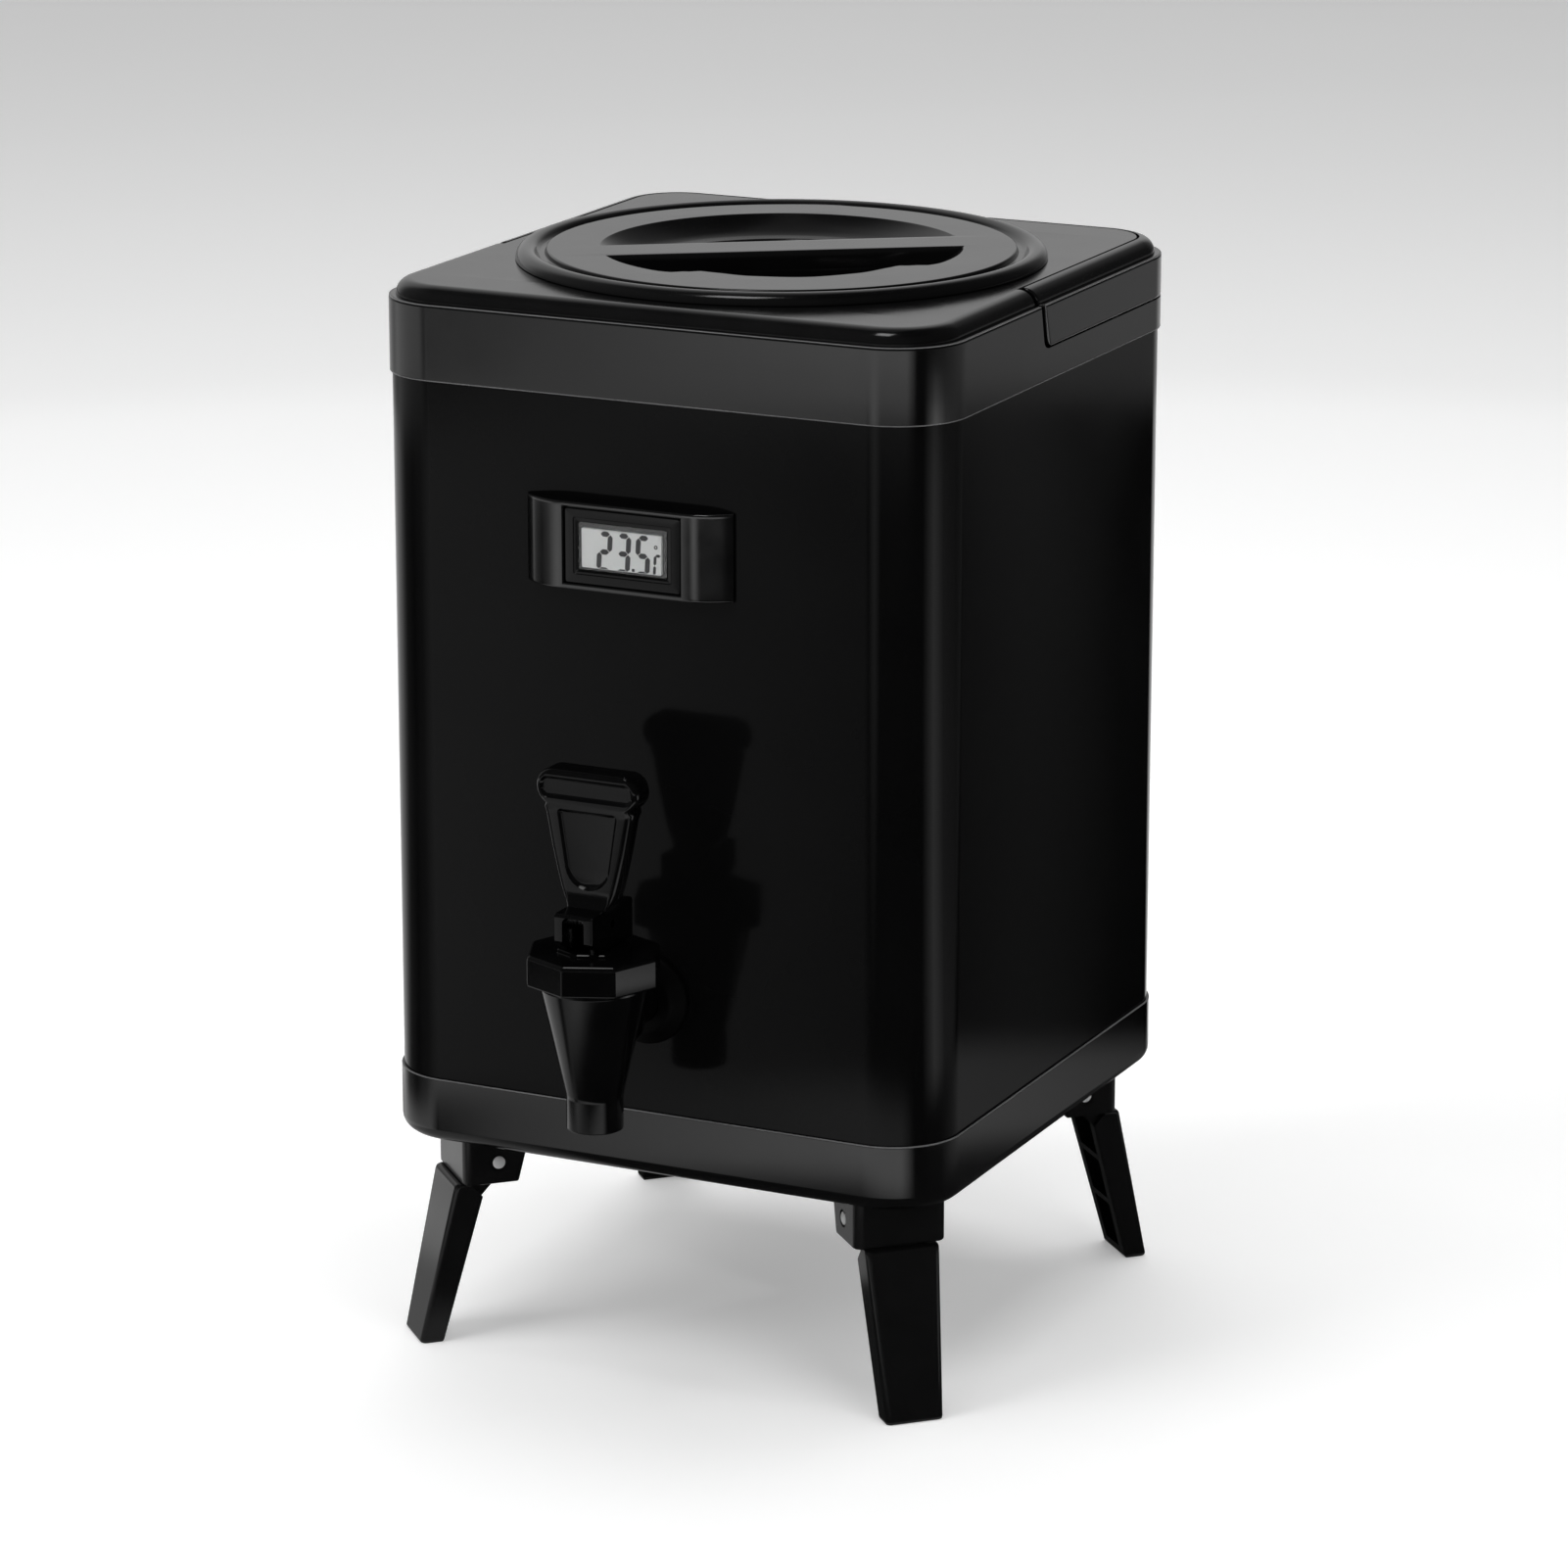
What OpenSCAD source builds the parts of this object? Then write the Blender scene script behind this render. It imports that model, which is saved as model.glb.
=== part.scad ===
// Insulated beverage dispenser: a square coated steel jacket round a foamed tank, with a twist lid,
// a fold-away carry handle, a panel thermometer, a lever tap and four folding legs.
// Millimetres. +Z is up, the tap faces -Y, and the feet stand on z = 0.

/* [Body] */
// Width across the collar and the base
body_w = 236; // [225:1:260]
// Plan corner radius of the collar and the base
corner_r = 28; // [24:1:34]
// How far the collar and the base stand proud of the shell
shell_inset = 1; // [0.6:0.1:1.6]
// Height of the shell that shows
shell_h = 275; // [250:1:320]
// Thickness of the shell's sheet
shell_t = 0.8; // [0.5:0.1:1.2]
// How far the shell reaches into the base and into the collar
shell_lap = 6; // [4:0.5:8]

/* [Base tray] */
// Height of the base tray
base_h = 26; // [22:1:32]
// Wall and floor of the base tray
base_wall = 3; // [2.4:0.2:4]
// Rounding of the base tray's lower edge
base_round = 6; // [5:0.5:8]

/* [Collar and deck] */
// Height of the collar from its lower edge to the rim
collar_h = 29; // [27:1:34]
// Wall of the collar, which is also the width of the ledge at its rim
collar_wall = 2.7; // [2.4:0.1:3.2]
// Rounding of the collar's rim
rim_round = 1.2; // [0.6:0.2:1.6]
// Height of the deck above the rim, which is also its shoulder's radius
deck_rise = 6; // [5:0.5:6.5]
// Thickness of the deck and of its skirts
deck_t = 3; // [2.4:0.2:3.6]
// Thickness of the collar's inner shelf
shelf_t = 2.5; // [2:0.5:4]

/* [Carry handle] */
// Height of the handle's outer band below the rim
handle_band = 16.5; // [15:0.5:18]
// Gap between the handle and the deck beside it
handle_side_gap = 0.8; // [0.6:0.1:1.2]
// Gap under the handle
handle_under_gap = 0.5; // [0.4:0.1:1]
// Gap in front of the handle's ends
handle_front_gap = 4; // [4:0.5:6]
// Distance from the body's middle forward to the handle's ends, at the rim
handle_reach = 18; // [10:1:26]
// Lean of the handle's ends, with the top forward
handle_lean = 12; // [6:1:14]
// Rounding of the handle's lower front corners
handle_round = 4.5; // [3:0.5:6]
// Distance from the handle's ends back to its pivots
handle_pivot_back = 6; // [5.5:0.5:8]
// Radius of the handle's pivot pins
handle_pin_r = 2; // [1.6:0.2:2.2]

/* [Tank] */
// Foam thickness between the shell and the tank
foam_t = 17.4; // [16:0.2:22]
// Thickness of the tank's sheet
tank_t = 0.8; // [0.6:0.1:1.2]
// Plan corner radius of the tank, outside
tank_corner_r = 40; // [34:1:46]
// Rounding of the tank's lower edge, outside
tank_round = 9; // [6:1:10]
// Height of the tank's underside above the base tray's top edge
tank_raise = 23; // [20:1:26]
// Depth of the tank's top panel under the deck
neck_h = 30; // [26:1:34]
// Inner radius of the neck
neck_r = 86; // [82:1:88]
// Width of the lip on top of the neck
neck_lip = 5; // [4:0.5:7]

/* [Lid] */
// Outer radius of the lid's bead
lid_r = 102; // [98:0.5:104]
// Radius of the bead's section
bead_r = 4.4; // [3.6:0.2:5]
// Height of the lid's flat ring above the deck
lid_rise = 4; // [3:0.5:6]
// Outer radius of the lid's flat ring
lid_flat_r = 90; // [88.5:0.5:91]
// Thickness of the lid's skin
lid_t = 2.6; // [2:0.2:3]
// Radius of the finger recess at the top
recess_r = 70; // [68:1:75]
// Radius of the deep pocket inside the recess
pocket_r = 55; // [52:1:60]
// Depth of the recess's ledge below the flat ring
ledge_depth = 7; // [5:0.5:8]
// Depth of the pocket below the flat ring
pocket_depth = 20; // [17:1:22]
// Width of the grip bar across the recess
bar_w = 22; // [16:1:24]
// Turn of the grip bar from the body's width
bar_turn = 34; // [0:1:45]
// How far the front lip's flats stay from the lid's axis
lip_flat = 48; // [46:0.5:52]
// Radius of the round notch between the front lip's flats
notch_r = 48.5; // [46:0.5:52]
// Gap between the plug and the neck
plug_gap = 1.6; // [1.2:0.1:2]
// Wall and floor of the plug
plug_t = 2.6; // [2:0.2:3]
// Depth of the plug below the deck
plug_depth = 36; // [33:1:40]
// Height of the gasket's section
gasket_h = 6; // [5:0.5:7]
// Thickness of the gasket's section, from the plug outwards
gasket_w = 5; // [4.5:0.1:5.2]

/* [Thermometer] */
// Width of the housing
housing_w = 85.5; // [80:0.5:92]
// Height of the housing
housing_h = 33.5; // [32.5:0.5:38]
// How far the housing stands out from the shell
housing_d = 8.4; // [7:0.2:10]
// Distance of the housing's middle to the left of the body's middle
housing_left = 5.5; // [0:0.5:10]
// Height of the housing's middle above the base tray's top edge
housing_z = 220; // [190:1:225]
// Length of the rounded slope at each end of the housing
housing_run = 11.5; // [10:0.5:14]
// Width of the display module's bezel
module_w = 48; // [46:0.5:52]
// Height of the display module's bezel
module_h = 28.6; // [27:0.2:29.4]
// Foam left between the module's case and the tank
case_back = 1.2; // [1:0.1:2]
// Width of the display
display_w = 34.7; // [32:0.1:36]
// Height of the display
display_h = 16.3; // [14:0.1:18]
// Radius of the probe's capsule
probe_r = 2; // [1.5:0.1:2.4]
// Length of the probe's capsule
probe_l = 24; // [18:1:30]
// Length of the probe's lead between the case and the capsule
lead_l = 30; // [20:1:40]

/* [Tap] */
// Distance from the shell to the tap's upright axis
tap_reach = 43.5; // [40:0.5:48]
// Height of the shank above the base tray's top edge
shank_z = 46; // [44:0.5:50]
// Radius of the shank
shank_r = 8; // [7:0.5:9]
// Radius of the shank's waterway
waterway_r = 5; // [4:0.5:6]
// Radius of the flange against the shell
flange_r = 18; // [16:0.5:20]
// Thickness of the flange
flange_t = 7; // [5:0.5:8]
// Height of the spout's end above the base tray's top edge
spout_z = 7.2; // [5:0.2:12]
// Outer radius of the spout
spout_r = 10.75; // [10:0.25:12]
// Inner radius of the spout
outlet_r = 7.5; // [6:0.5:8]
// Length of the spout's straight end
spout_l = 13; // [10:1:16]
// Outer radius of the tap's body under the bonnet
chamber_r = 20.3; // [19.5:0.1:22]
// Height of the bonnet's lower face above the base tray's top edge
bonnet_z = 64.6; // [64:0.2:68]
// Width of the bonnet across its flats
bonnet_flats = 48; // [45:0.5:52]
// Height of the bonnet
bonnet_h = 12; // [11:0.5:14]
// Height of the round boss on the bonnet, under the lever
boss_h = 1.6; // [1.2:0.2:2]
// Radius of the stem
stem_r = 2.5; // [2.2:0.1:2.7]
// Radius of the spring's coil
coil_r = 6.6; // [6:0.1:7.4]
// Radius of the spring's wire
wire_r = 0.6; // [0.5:0.05:0.7]
// Turns of the spring
coil_turns = 5; // [4:1:6]

/* [Lever] */
// Height of the lever's top above the base tray's top edge
lever_z = 145.6; // [140:0.2:155]
// Width of the lever's foot
foot_w = 16; // [14:0.5:18]
// Depth of the lever's foot, front to back
foot_d = 33; // [28:0.5:36]
// Height of the lever's foot
foot_h = 15.4; // [15:0.2:17]
// Height of the lever's pin above the bonnet
lever_pin_rise = 11; // [10.4:0.2:11]
// Radius of the lever's pin
lever_pin_r = 1.5; // [1.2:0.1:1.8]
// Width of the paddle at its lower end
paddle_w_low = 25; // [22:0.5:30]
// Width of the paddle under the crossbar
paddle_w_top = 36.5; // [32:0.5:40]
// Thickness of the paddle
paddle_t = 9; // [7:0.5:11]
// Width of the crossbar
crossbar_w = 42.5; // [40:0.5:48]
// Height of the crossbar
crossbar_h = 14; // [12:0.5:16]
// Depth of the recesses in the paddle's face
paddle_recess = 1.2; // [0.8:0.1:1.6]

/* [Legs] */
// Height of the base tray's underside above the floor
leg_h = 85; // [75:1:95]
// Distance from a corner of the base tray in to a bracket's outer face
bracket_in = 18.3; // [16:0.1:24]
// Width of a bracket
bracket_w = 36.8; // [35.5:0.2:40]
// Depth of a bracket at its top
bracket_d = 27; // [26:0.5:30]
// Height of a bracket
bracket_h = 19.5; // [18.5:0.5:22]
// Wall of a bracket
bracket_wall = 5.4; // [5:0.1:5.8]
// Distance from a bracket's outer face in to the leg's pin
leg_pin_in = 14; // [13:0.5:15]
// Height of the leg's pin above the bracket's lower edge
leg_pin_up = 8.5; // [8:0.5:9]
// Radius of a leg's pin
leg_pin_r = 2.5; // [2:0.1:3]
// Splay of a leg's outer face from upright
leg_splay = 12.5; // [8:0.5:16]
// Width of a leg's outer plate at the top
plate_w_top = 30; // [29:0.5:32]
// Width of a leg's outer plate at the foot
plate_w_foot = 23; // [20:0.5:26]
// Thickness of a leg's outer plate
plate_t = 3; // [2.5:0.1:3.5]
// How far the outer plate stands proud of the bracket
plate_proud = 2.5; // [1:0.5:4]
// Thickness of a leg at its top
leg_d_top = 12.3; // [11:0.1:13.5]
// Thickness of a leg at its foot
leg_d_foot = 9.5; // [8.8:0.1:11]
// Thickness of a leg's sides
leg_side_t = 2.6; // [2:0.2:3]
// Distance of a leg's sides in from its plate's edges
leg_side_in = 2.4; // [2:0.2:3]
// Height of the step above the foot
foot_step = 8.6; // [6:0.2:12]
// Thickness of the foot under the step
foot_pad = 6.8; // [5.5:0.1:8]

/* [Fits] */
// Radial clearance of a pin that something turns on
pin_gap = 0.06; // [0.03:0.01:0.1]
// Clearance between pieces that move past each other
free_gap = 0.3; // [0.3:0.05:0.5]
// Clearance of a piece in its pocket
pocket_gap = 0.2; // [0.1:0.05:0.3]

/* [Hidden] */
$fn = 64;

// Directions of the legs, as turns from +X
FRONT_LEFT = 225;
FRONT_RIGHT = 315;
REAR_LEFT = 135;
REAR_RIGHT = 45;

// Colours
STEEL_BLACK = [0.03, 0.03, 0.035];
PLASTIC_BLACK = [0.07, 0.07, 0.075];
STEEL = [0.72, 0.73, 0.75];
RUBBER = [0.12, 0.12, 0.12];
SILICONE = [0.85, 0.85, 0.83];
FOAM = [0.93, 0.88, 0.68];

// Heights of the body's main planes
half = body_w / 2;
base_z = leg_h;
line_z = base_z + base_h;
collar_z = line_z + shell_h;
rim_z = collar_z + collar_h;
deck_z = rim_z + deck_rise;

// The body's middle stands behind the origin, so that the whole part's box is centred on it
bonnet_corner_r = bonnet_flats / 2 / cos(22.5);
front_reach = half - shell_inset + tap_reach + bonnet_corner_r;
axis_y = (front_reach - half) / 2;

// Plan sizes from outside to inside
shell_half = half - shell_inset;
shell_r = corner_r - shell_inset;
shell_z0 = line_z - shell_lap;
shell_z1 = collar_z + shell_lap;
inside_half = shell_half - shell_t;
inside_r = shell_r - shell_t;
tank_half = inside_half - foam_t;
tank_z0 = line_z + tank_raise;
tank_z1 = deck_z - neck_h;
lip_z = deck_z - deck_t - tank_t;
floor_z = base_z + base_wall;

// Handle, its pocket and its pivots
pocket_z0 = rim_z - handle_band - handle_under_gap;
shelf_z0 = pocket_z0 - shelf_t;
handle_z0 = rim_z - handle_band;
shoulder_x = corner_r - collar_wall - deck_rise;
handle_in_x = shoulder_x;
deck_edge_x = handle_in_x - handle_side_gap;
pivot_z = rim_z;
pivot_y = -handle_reach + handle_pivot_back;
pin_seat_x = half - corner_r + deck_edge_x;
handle_in = half - corner_r + handle_in_x;
pin_engage = 4.6;
pin_reach = handle_in + pin_engage;
pin_head_t = 2.4;
pin_head_lip = 0.8;
pin_head_r = handle_pin_r + pin_head_lip;
corner_steps = 8;

// Lid
lid_seat_z = deck_z + free_gap;
lid_top_z = deck_z + lid_rise;
bead_mid_r = lid_r - bead_r;
plug_r = neck_r - plug_gap;
plug_z0 = deck_z - plug_depth;
plug_z1 = lid_top_z - lid_t;
pocket_floor_z = lid_top_z - pocket_depth;
bar_edge = 2.2;
ledge_w = 3;
lip_cover = 6;
notch_y = recess_r - lip_cover - notch_r;
groove_h = gasket_h + 2 * free_gap;
groove_up = 7;
groove_z0 = plug_z0 + groove_up;
groove_r = neck_r - free_gap - gasket_w - free_gap;

// Thermometer, drawn about its own middle with y outwards from the shell
housing_mid_z = line_z + housing_z;
housing_flat = housing_w / 2 - housing_run;
end_lip = 1.2;
end_drop = housing_d - end_lip;
end_r = (housing_run * housing_run + end_drop * end_drop) / (2 * end_drop);
bezel_t = 2.4;
bezel_sink = 0.8;
case_wall = 1.6;
case_d = shell_t + foam_t - case_back;
bezel_lap = 1.5;
case_w = module_w - 2 * bezel_lap;
case_h = module_h - 2 * bezel_lap;
window_t = 1;
lcd_t = 2;
cell_r = 5.8;
cell_t = 5.2;
cell_gap = 2;
lead_r = 1;
probe_y = tank_half + probe_r + pocket_gap;
probe_top = housing_mid_z - case_h / 2 - lead_l;

// Tap, drawn about its own upright axis
tap_y = shell_half + tap_reach;
shank_mid_z = line_z + shank_z;
spout_z0 = line_z + spout_z;
bonnet_z0 = line_z + bonnet_z;
bonnet_z1 = bonnet_z0 + bonnet_h;
bonnet_roof = 3;
boss_r = 14;
seat_drop = 2;
seat_z = shank_mid_z - waterway_r - seat_drop;
seat_land = 4.5;
neck_wall = 4;
bowl_r = outlet_r + seat_land;
neck_wall_r = bowl_r + neck_wall;
neck_rise = 6;
shank_inside = 14;
shank_end = tank_half - tank_t - shank_inside;
washer_t = 2;
washer_rim = 4;
nut_t = 8;
nut_flats = 25;
seat_gap = 1.2;
seat_r = bowl_r - seat_gap;
seat_h = 9;
seat_lip = 2;
seat_top = 3;
seat_under = 3;
stem_z0 = seat_z + free_gap + seat_under;
spring_z0 = seat_z + free_gap + seat_h;
spring_z1 = bonnet_z1 - bonnet_roof;

// Lever
lever_pin_z = bonnet_z1 + lever_pin_rise;
lug_r = 4.4;
lug_t = 8.4;
slot_w = lug_t + 2 * free_gap;
lever_z1 = line_z + lever_z;
lever_z0 = bonnet_z1 + boss_h + free_gap;
foot_top = lever_z0 + foot_h;
foot_flat = 8;
foot_lift = 4.6;
foot_ease = 1.5;
web_t = 2;
web_h = 5;
paddle_low = 9;
bar_back = 2;
bar_front = 1;
bar_ease = 4;
shield_in = 5;
shield_low = 7;
shield_top = 1.5;
shield_r = 8;
bar_slot_in = 2;
bar_slot_rim = 3;
paddle_top = lever_z1 - crossbar_h;

// Legs, drawn in the plane of a diagonal with x outwards
bracket_z0 = base_z - bracket_h;
bracket_reach = (half - corner_r) * sqrt(2) + corner_r - bracket_in;
hinge_x = bracket_reach - leg_pin_in;
hinge_z = bracket_z0 + leg_pin_up;
cheek_in = bracket_w / 2 - bracket_wall;
tang_out = cheek_in - free_gap;
leg_eye_t = 4.3;
leg_neck = 6;
leg_eye_r = leg_pin_r + leg_eye_t;
plate_z1 = bracket_z0 - free_gap;
plate_x1 = bracket_reach + plate_proud;
foot_x = plate_x1 + plate_z1 * tan(leg_splay);
screw_r = 1.7;
screw_head_r = 3;
screw_head_t = 1.8;
screw_in = 8.5;
screw_x = hinge_x - screw_in;
screw_side = 7;

// Moves a piece from the body's axis to the part's own frame
module place() { translate([0, axis_y, 0]) children(); }

// A square with rounded corners, by its half width
module rounded_square(h, r) {
    square([2 * h, 2 * (h - r)], center = true);
    square([2 * (h - r), 2 * h], center = true);
    for (x = [-1, 1], y = [-1, 1])
        translate([x * (h - r), y * (h - r)]) circle(r);
}

// A prism on that square, between two heights
module block(h, r, z0, z1) { translate([0, 0, z0]) linear_extrude(z1 - z0) rounded_square(h, r); }

// A rectangle by its lower left and upper right corners
module rect(x0, y0, x1, y1) { translate([x0, y0]) square([x1 - x0, y1 - y0]); }

// A rectangle with round ends, lying along x
module slot_2d(w, h) {
    square([w - h, h], center = true);
    for (x = [-1, 1]) translate([x * (w - h) / 2, 0]) circle(h / 2);
}

// A quarter of a ring, from +X to +Y
module quarter_ring(r, t) {
    intersection() {
        difference() {
            circle(r);
            circle(r - t);
        }
        square(r);
    }
}

// Sweeps a section round the body's plan: x runs outwards from a corner's axis and y runs upwards
module round_plan(h, r) {
    run = 2 * (h - r);
    for (turn = [0:90:270])
        rotate(turn) translate([h - r, h - r, 0]) {
            rotate_extrude(angle = 90) children();
            rotate([90, 0, 0]) linear_extrude(run) children();
        }
}

// Turns a piece drawn along z so that it lies along the front to back line, ending at y = 0
module along_y() { rotate([90, 0, 0]) children(); }

// The side view of everything behind the handle's ends, in y and z: lean is the ends' slope
module behind_ends(front, low, round_r) {
    far = 2 * half;
    top = deck_z + 2;
    edge = function(z) -front - (z - rim_z) * tan(handle_lean);
    mid = [edge(low + round_r) + round_r / cos(handle_lean), low + round_r];
    corner = [for (i = [0:corner_steps]) let (a = 270 - i * (90 - handle_lean) / corner_steps)
        mid + round_r * [cos(a), sin(a)]];
    polygon(concat(corner, [[edge(top), top], [far, top], [far, low]]));
}

// The same region as a solid across the whole width
module behind_ends_solid(front, low, round_r) {
    translate([-body_w, 0, 0]) rotate([90, 0, 90]) linear_extrude(2 * body_w)
        behind_ends(front, low, round_r);
}

// The space that the handle lies in
module handle_pocket() {
    intersection() {
        round_plan(half, corner_r) rect(deck_edge_x, pocket_z0, corner_r + 2, deck_z + 1);
        behind_ends_solid(handle_reach + handle_front_gap, pocket_z0, handle_round);
    }
}

module outer_shell() {
    color(STEEL_BLACK) difference() {
        block(shell_half, shell_r, shell_z0, shell_z1);
        block(inside_half, inside_r, shell_z0 - 1, shell_z1 + 1);
        at_housing() along_y() cube([case_w + 2 * pocket_gap, case_h + 2 * pocket_gap, 4 * foam_t], center = true);
        shank_hole(shank_r + pocket_gap);
    }
}

// A straight way through the front wall for the tap's shank
module shank_hole(r) {
    translate([0, -tank_half / 2, shank_mid_z]) along_y() cylinder(h = body_w, r = r);
}

module foam_insulation() {
    color(FOAM) difference() {
        union() {
            block(half - base_wall, corner_r - base_wall, base_z + base_round, shell_z0);
            block(inside_half, inside_r, shell_z0, shell_z1);
            block(half - collar_wall, corner_r - collar_wall, shell_z1, shelf_z0);
            block(pin_seat_x - deck_t, deck_edge_x - deck_t, shelf_z0, lip_z);
        }
        block(tank_half, tank_corner_r, tank_z0, tank_z1);
        translate([0, 0, tank_z1 - 1]) cylinder(h = neck_h, r = neck_r + tank_t);
        shank_hole(shank_r + pocket_gap);
        at_housing() case_pocket();
        probe_pocket();
        translate([0, pivot_y, pivot_z]) rotate([0, 90, 0])
            cylinder(h = body_w, r = pin_head_r + pocket_gap, center = true);
    }
}

// The foam's room for the thermometer's case
module case_pocket() {
    along_y() translate([0, 0, -case_d - pocket_gap])
        linear_extrude(2 * case_d) square([case_w + 2 * pocket_gap, case_h + 2 * pocket_gap], center = true);
}

// The foam's room for the probe and its lead, against the tank's front wall
module probe_pocket() {
    translate([-housing_left, -probe_y, probe_top - probe_l - pocket_gap])
        cylinder(h = probe_l + 2 * pocket_gap, r = probe_r + pocket_gap);
    translate([-housing_left, -probe_y, probe_top])
        cylinder(h = lead_l + case_h / 2, r = lead_r + pocket_gap);
}

// The tank: a square vessel with a rounded lower edge, a top panel and a round neck
module inner_liner() {
    edge_x = tank_corner_r - tank_round;
    color(STEEL) difference() {
        union() {
            round_plan(tank_half, tank_corner_r) {
                translate([edge_x, tank_z0 + tank_round]) rotate(-90) quarter_ring(tank_round, tank_t);
                rect(tank_corner_r - tank_t, tank_z0 + tank_round, tank_corner_r, tank_z1);
            }
            block(tank_half - tank_round, edge_x, tank_z0, tank_z0 + tank_t);
            difference() {
                block(tank_half, tank_corner_r, tank_z1 - tank_t, tank_z1);
                translate([0, 0, tank_z1 - 2]) cylinder(h = 4, r = neck_r);
            }
            neck();
        }
        shank_hole(shank_r + pocket_gap);
    }
}

// The neck, with a lip that lies under the deck
module neck() {
    top = deck_z - deck_t;
    rotate_extrude() {
        rect(neck_r, tank_z1 - tank_t, neck_r + tank_t, top);
        rect(neck_r, top - tank_t, neck_r + neck_lip, top);
    }
}

module base_tray() {
    color(PLASTIC_BLACK) difference() {
        union() {
            round_plan(half, corner_r) {
                translate([corner_r - base_round, base_z + base_round]) rotate(-90)
                    quarter_ring(base_round, base_wall);
                rect(corner_r - base_wall, base_z + base_round, corner_r, shell_z0);
                rect(corner_r - shell_inset, shell_z0 - 1, corner_r, line_z);
            }
            block(half - base_round, corner_r - base_round, base_z, floor_z);
        }
        at_screws() cylinder(h = 4 * base_wall, r = screw_r);
    }
}

// Places a piece at each bracket screw, on the underside of the bracket's roof
module at_screws() {
    for (turn = [FRONT_LEFT, FRONT_RIGHT, REAR_LEFT, REAR_RIGHT], side = [-1, 1])
        rotate(turn) translate([screw_x, side * screw_side, base_z - base_wall]) children();
}

// The collar's section: a lip over the shell, the wall with its rounded rim, and the shelf
module collar_section() {
    rect(corner_r - shell_inset, collar_z, corner_r, shell_z1 + 1);
    rect(corner_r - collar_wall, shell_z1, corner_r, rim_z - rim_round);
    rect(corner_r - collar_wall, rim_z - rim_round - 1, corner_r - rim_round, rim_z);
    translate([corner_r - rim_round, rim_z - rim_round]) circle(rim_round);
    rect(deck_edge_x - deck_t, shelf_z0, corner_r - 1, pocket_z0);
}

module top_collar() {
    color(PLASTIC_BLACK) difference() {
        round_plan(half, corner_r) collar_section();
        handle_pocket();
    }
}

// The deck's section at the front: a rounded shoulder over a skirt inside the collar
module shoulder_section() {
    translate([shoulder_x, rim_z]) quarter_ring(deck_rise, deck_t);
    rect(shoulder_x + deck_rise - deck_t, pocket_z0, shoulder_x + deck_rise, rim_z);
    rect(deck_edge_x - deck_t, deck_z - deck_t, shoulder_x, deck_z);
}

module top_deck() {
    color(PLASTIC_BLACK) difference() {
        union() {
            difference() {
                round_plan(half, corner_r) shoulder_section();
                handle_pocket();
            }
            round_plan(half, corner_r) rect(deck_edge_x - deck_t, pocket_z0, deck_edge_x, deck_z);
            block(half - corner_r + deck_edge_x - 1, deck_edge_x - 1, deck_z - deck_t, deck_z);
        }
        translate([0, 0, deck_z - 2 * deck_t]) cylinder(h = 3 * deck_t, r = neck_r);
        translate([-body_w / 2, pivot_y, pivot_z]) rotate([0, 90, 0]) cylinder(h = body_w, r = handle_pin_r);
    }
}

// The handle's section: the outer band with its rounded rim, and the shoulder
module handle_section() {
    rect(handle_in_x, handle_z0, corner_r, rim_z - rim_round);
    rect(handle_in_x, rim_z - rim_round - 1, corner_r - rim_round, rim_z);
    translate([corner_r - rim_round, rim_z - rim_round]) circle(rim_round);
    translate([shoulder_x, rim_z]) intersection() {
        circle(deck_rise);
        square(deck_rise);
    }
}

module carry_handle() {
    bore = handle_pin_r + pin_gap;
    color(PLASTIC_BLACK) difference() {
        intersection() {
            round_plan(half, corner_r) handle_section();
            behind_ends_solid(handle_reach, handle_z0, handle_round);
        }
        for (side = [-1, 1])
            translate([side * handle_in, pivot_y, pivot_z]) rotate([0, 90, 0])
                cylinder(h = 2 * (pin_reach - handle_in + free_gap), r = bore, center = true);
    }
}

// Two headed pins, pressed outwards through the deck's skirts
module handle_pins() {
    length = pin_reach - pin_seat_x + deck_t;
    color(STEEL) for (side = [0, 180])
        rotate(side) translate([pin_seat_x - deck_t, side == 0 ? pivot_y : -pivot_y, pivot_z]) rotate([0, 90, 0]) {
            cylinder(h = length, r = handle_pin_r);
            translate([0, 0, -pin_head_t]) cylinder(h = pin_head_t, r = pin_head_r);
        }
}

// The cap's section: the rolled bead, the flat ring, the recess's sloping wall, its ledge and the pocket
module cap_section() {
    ledge_z = lid_top_z - ledge_depth;
    difference() {
        translate([bead_mid_r, lid_seat_z]) circle(bead_r);
        rect(bead_mid_r - 2 * bead_r, lid_seat_z - 2 * bead_r, lid_r + 1, lid_seat_z);
    }
    rect(lid_flat_r - 1, lid_seat_z, bead_mid_r, lid_seat_z + lid_rise / 2);
    rect(recess_r, lid_top_z - lid_t, lid_flat_r, lid_top_z);
    polygon([
        [recess_r, lid_top_z], [recess_r, lid_top_z - lid_t], [pocket_r + lid_t, ledge_z - lid_t],
        [pocket_r, ledge_z - lid_t], [pocket_r, ledge_z], [pocket_r + ledge_w, ledge_z]
    ]);
    rect(pocket_r, pocket_floor_z, pocket_r + lid_t, ledge_z - lid_t / 2);
    rect(0, pocket_floor_z - lid_t, pocket_r + lid_t, pocket_floor_z);
}

// The grip bar across the recess, with rounded upper edges
module grip_bar() {
    bar_h = lid_top_z - pocket_floor_z;
    rotate([90, 0, 90]) linear_extrude(2 * recess_r, center = true) translate([0, pocket_floor_z]) {
        rect(-bar_w / 2, -lid_t / 2, bar_w / 2, bar_h - bar_edge);
        rect(-bar_w / 2 + bar_edge, 0, bar_w / 2 - bar_edge, bar_h);
        for (side = [-1, 1]) translate([side * (bar_w / 2 - bar_edge), bar_h - bar_edge]) circle(bar_edge);
    }
}

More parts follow.
